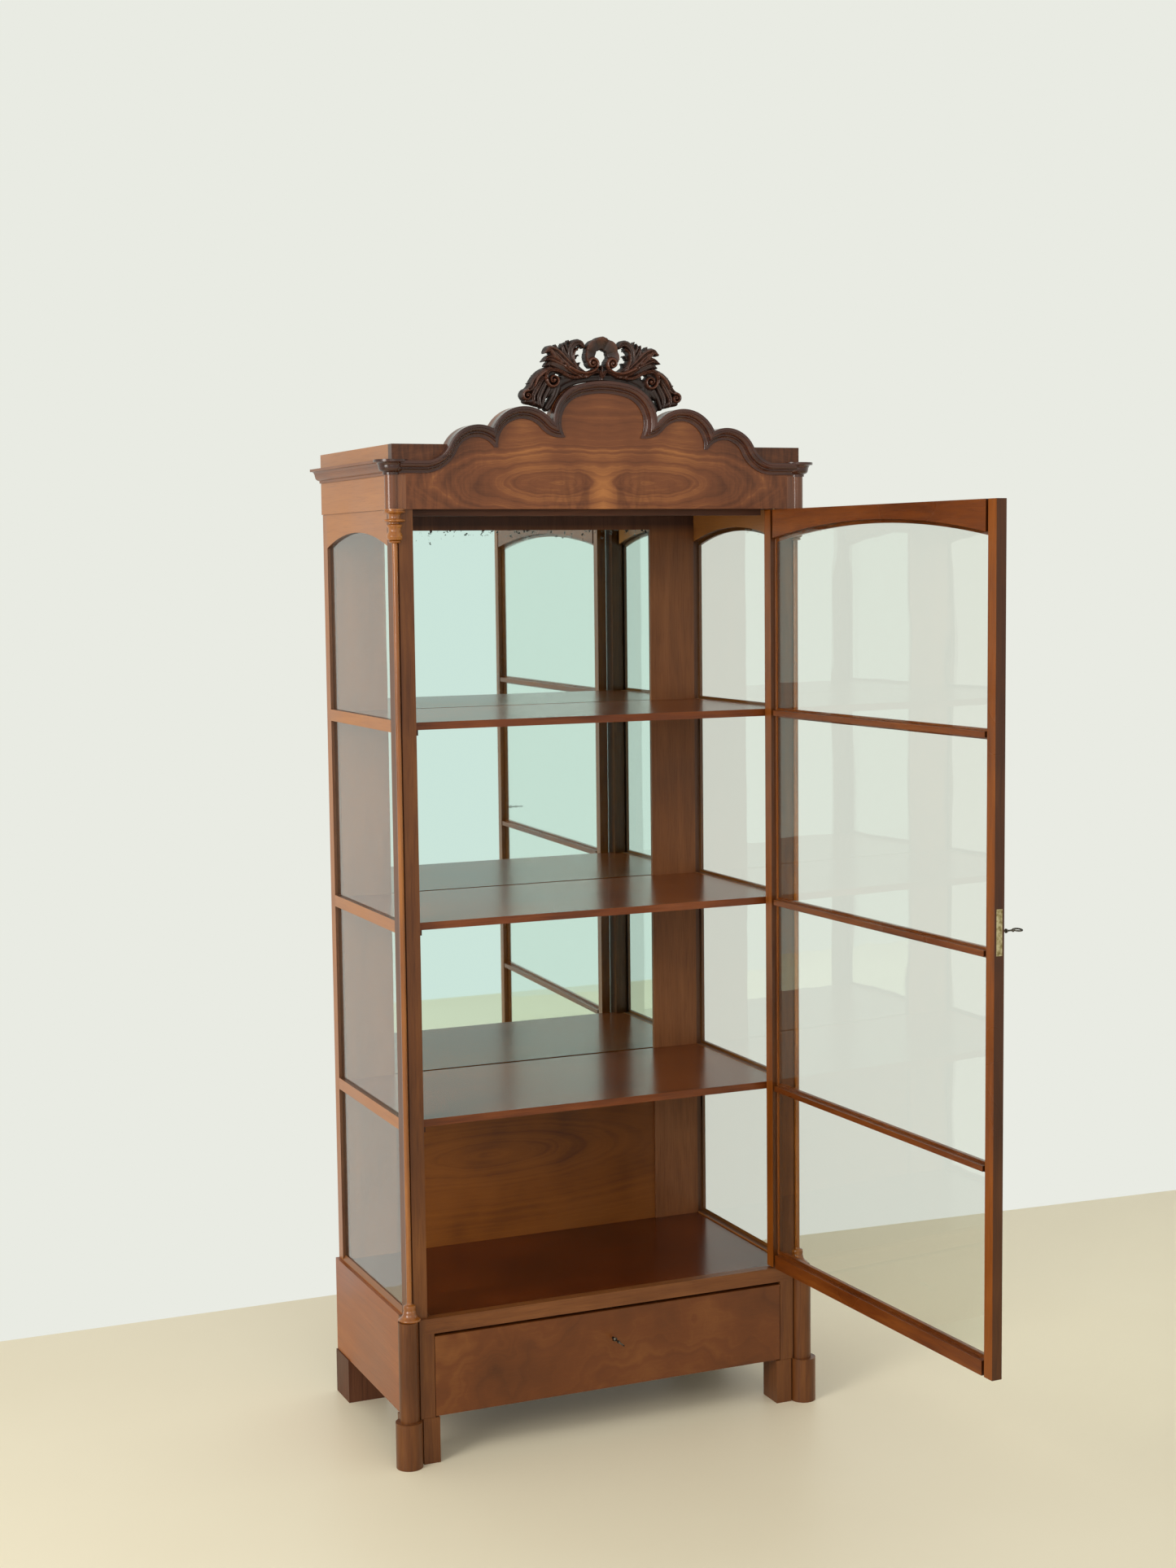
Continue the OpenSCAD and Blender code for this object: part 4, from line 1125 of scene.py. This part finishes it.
    def store_relief(self, crest: bpy.types.Object) -> None:
        """Keeps each point's height off the back, as a share, for the finish to read.

        Args:
            crest: the carved piece.
        """
        mesh = crest.data
        co = np.zeros(len(mesh.vertices) * 3, np.float32)
        mesh.vertices.foreach_get("co", co)
        up = (self.back_y - self.plate - co.reshape(-1, 3)[:, 1] / MM) / self.relief
        shares = mesh.attributes.new("relief", "FLOAT", "POINT").data
        shares.foreach_set("value", np.clip(up, 0, 1).astype(np.float32))


# ---------------------------------------------------------------- keys


@dataclass
class LockKey:
    """A forged key: bit, round shaft, turned collar and an oval bow."""

    body: str
    node: str
    joint: str
    bow_turn: float = 0.0
    depth: float = 12.0
    reach: float = 44.3
    collar_out: float = 27.4
    bow_out: float = 26.4
    wire_r: float = 1.4
    oval: float = 1.04

    def build(self) -> None:
        """Makes the key along its joint's axis, from the lock face outwards."""
        joint = next(j for j in frame["joints"] if j["name"] == self.joint)
        axis = np.array(Vector(joint["axis"]).normalized())
        upright = np.array([0.0, 0.0, 1.0])
        level = np.cross(axis, upright)
        turn = math.radians(self.bow_turn)
        across = level * math.cos(turn) + upright * math.sin(turn)
        up = upright * math.cos(turn) - level * math.sin(turn)
        end, tip = self.collar_out, self.depth
        shaft = bowed([(0.01, -end, 0), (2.6, -end, -0.2), (2.6, -24.6, 0), (1.9, -24, 0.04), (1.9, -14, 0),
                       (2.3, -13.6, -0.35), (3.3, -12, -0.35), (3.3, -10, 0), (2.1, -9.6, 0),
                       (2.1, tip - 0.6, 0), (1.5, tip, 0), (0.01, tip, 0)], 5)
        turned, faces = lathe(shaft, 0.0, 0.0, 28)
        a = np.linspace(0, 2 * np.pi, 48, endpoint=False)
        half = (self.reach - self.bow_out) / 2
        r = half - self.wire_r
        ring = np.stack([r * self.oval * np.sin(a), 0 * a, -self.bow_out - half + r * np.cos(a)], 1)
        bow, bow_faces = tube(ring, np.full(len(a), self.wire_r), 14, True)
        slab = np.array([[u, v, w] for w in (tip - 4.3, tip - 0.5)
                         for u, v in ((-0.6, 0), (0.6, 0), (0.6, -5.9), (-0.6, -5.9))])
        bit, bit_faces = skin(slab.reshape(2, 4, 3))
        origin = np.array(joint["pos_m"])
        turned_way, straight_way = np.stack([across, up, axis]) * MM, np.stack([level, upright, axis]) * MM
        parts = [(origin + turned @ turned_way, faces), (origin + bow @ turned_way, bow_faces),
                 (origin + bit @ straight_way, bit_faces)]
        piece(f"{self.body}_forged", parts, IRON, self.body, [self.node], 40)


# ---------------------------------------------------------------- room


@dataclass
class Room:
    """A plain pale floor under soft light, mostly from the left, and the camera."""

    camera_at: Triple = (-1.3106, -4.369, 1.6646)
    yaw: float = 23.29
    pitch: float = -5.46
    roll: float = -0.66
    lens: float = 52.73
    floor_front: float = -3.95
    floor_back: float = 0.62
    floor_half: float = 6.0
    bend: tuple[float, float] = (0.6, 0.03)
    right_inset: float = 0.35
    horizon: str = "#e9ebe3"
    zenith: str = "#c9cac4"

    def floor(self) -> None:
        """A pale floor, cut off at the far wall's line, which bends a little to the front at its right."""
        x, front, back = self.floor_half, self.floor_front, self.floor_back
        bend_x, bend_in = self.bend
        corners = [(-x, front, 0), (x, front, 0), (x, back - self.right_inset, 0),
                   (bend_x, back - bend_in, 0), (-x, back, 0)]
        mesh = bpy.data.meshes.new("pale_floor")
        mesh.from_pydata(corners, [], [(0, 1, 2, 3, 4)])
        mesh.materials.append(PaleBoards().make())
        shown("pale_floor", mesh)

    def world(self) -> None:
        """An even pale surround, a little darker overhead."""
        world = bpy.data.worlds.new("pale_room")
        bpy.context.scene.world = world
        world.use_nodes = True
        tree = world.node_tree
        tree.nodes.clear()
        way = add(tree, "ShaderNodeTexCoord").outputs["Generated"]
        tone = blend(tree, ranged(tree, height_of(tree, way), 0.3, 0.9), self.horizon, self.zenith)
        light = add(tree, "ShaderNodeBackground", {"Color": tone, "Strength": 1.0})
        add(tree, "ShaderNodeOutputWorld", {"Surface": light.outputs[0]})

    def lamp(self, name: str, at: Triple, aim: Triple, power: float,
             size: tuple[float, float]) -> None:
        """A large soft lamp at one point, turned to another.

        Args:
            name: the lamp's name.
            at, aim: where it stands and what it faces, in metres.
            power: its power in watts.
            size: its width and height in metres.
        """
        data = bpy.data.lights.new(name, "AREA")
        data.shape, data.size, data.size_y, data.energy = "RECTANGLE", size[0], size[1], power
        data.color = (1.0, 0.97, 0.92)
        made = shown(name, data)
        made.location = at
        made.rotation_euler = (Vector(aim) - Vector(at)).to_track_quat("-Z", "Y").to_euler()

    def camera(self) -> None:
        """The camera: looks along its yaw, pitch and roll from where it stands."""
        yaw, pitch, roll = (math.radians(a) for a in (self.yaw, self.pitch, self.roll))
        ahead = Vector((math.sin(yaw) * math.cos(pitch), math.cos(yaw) * math.cos(pitch), math.sin(pitch)))
        right = Vector((math.cos(yaw), -math.sin(yaw), 0))
        up = right.cross(ahead)
        side = right * math.cos(roll) + up * math.sin(roll)
        over = up * math.cos(roll) - right * math.sin(roll)
        data = bpy.data.cameras.new("camera")
        data.lens, data.sensor_width = self.lens, 36.0
        made = shown("camera", data)
        turn = Matrix((side, over, -ahead)).transposed().to_4x4()
        made.matrix_world = Matrix.Translation(Vector(self.camera_at)) @ turn
        bpy.context.scene.camera = made

    def build(self) -> None:
        """Sets up floor, surround, lamps and camera."""
        bpy.context.scene.view_settings.view_transform = "Standard"
        self.floor()
        self.world()
        self.lamp("window_left", (-3.6, -2.4, 2.4), (0.3, -0.4, 0.9), 110.0, (1.6, 2.4))
        self.lamp("window_front", (-0.6, -5.2, 3.0), (0.4, -0.4, 1.0), 35.0, (2.6, 1.6))
        self.camera()


def main() -> None:
    """Builds the cabinet's sub-assemblies and the room, in order."""
    logging.basicConfig(level=logging.INFO, format="%(message)s")
    dress_cad()
    CornerColumns().build()
    pediment = LobedPediment()
    pediment.build()
    SideCornices().build()
    CarvedCrest().build(pediment)
    LockKey("door_key", "door_key", "door_key_turn", bow_turn=6.0).build()
    LockKey("drawer_key", "drawer_key", "drawer_key_turn", bow_turn=-40.0, depth=18.0).build()
    Room().build()


if __name__ == "__main__":
    main()
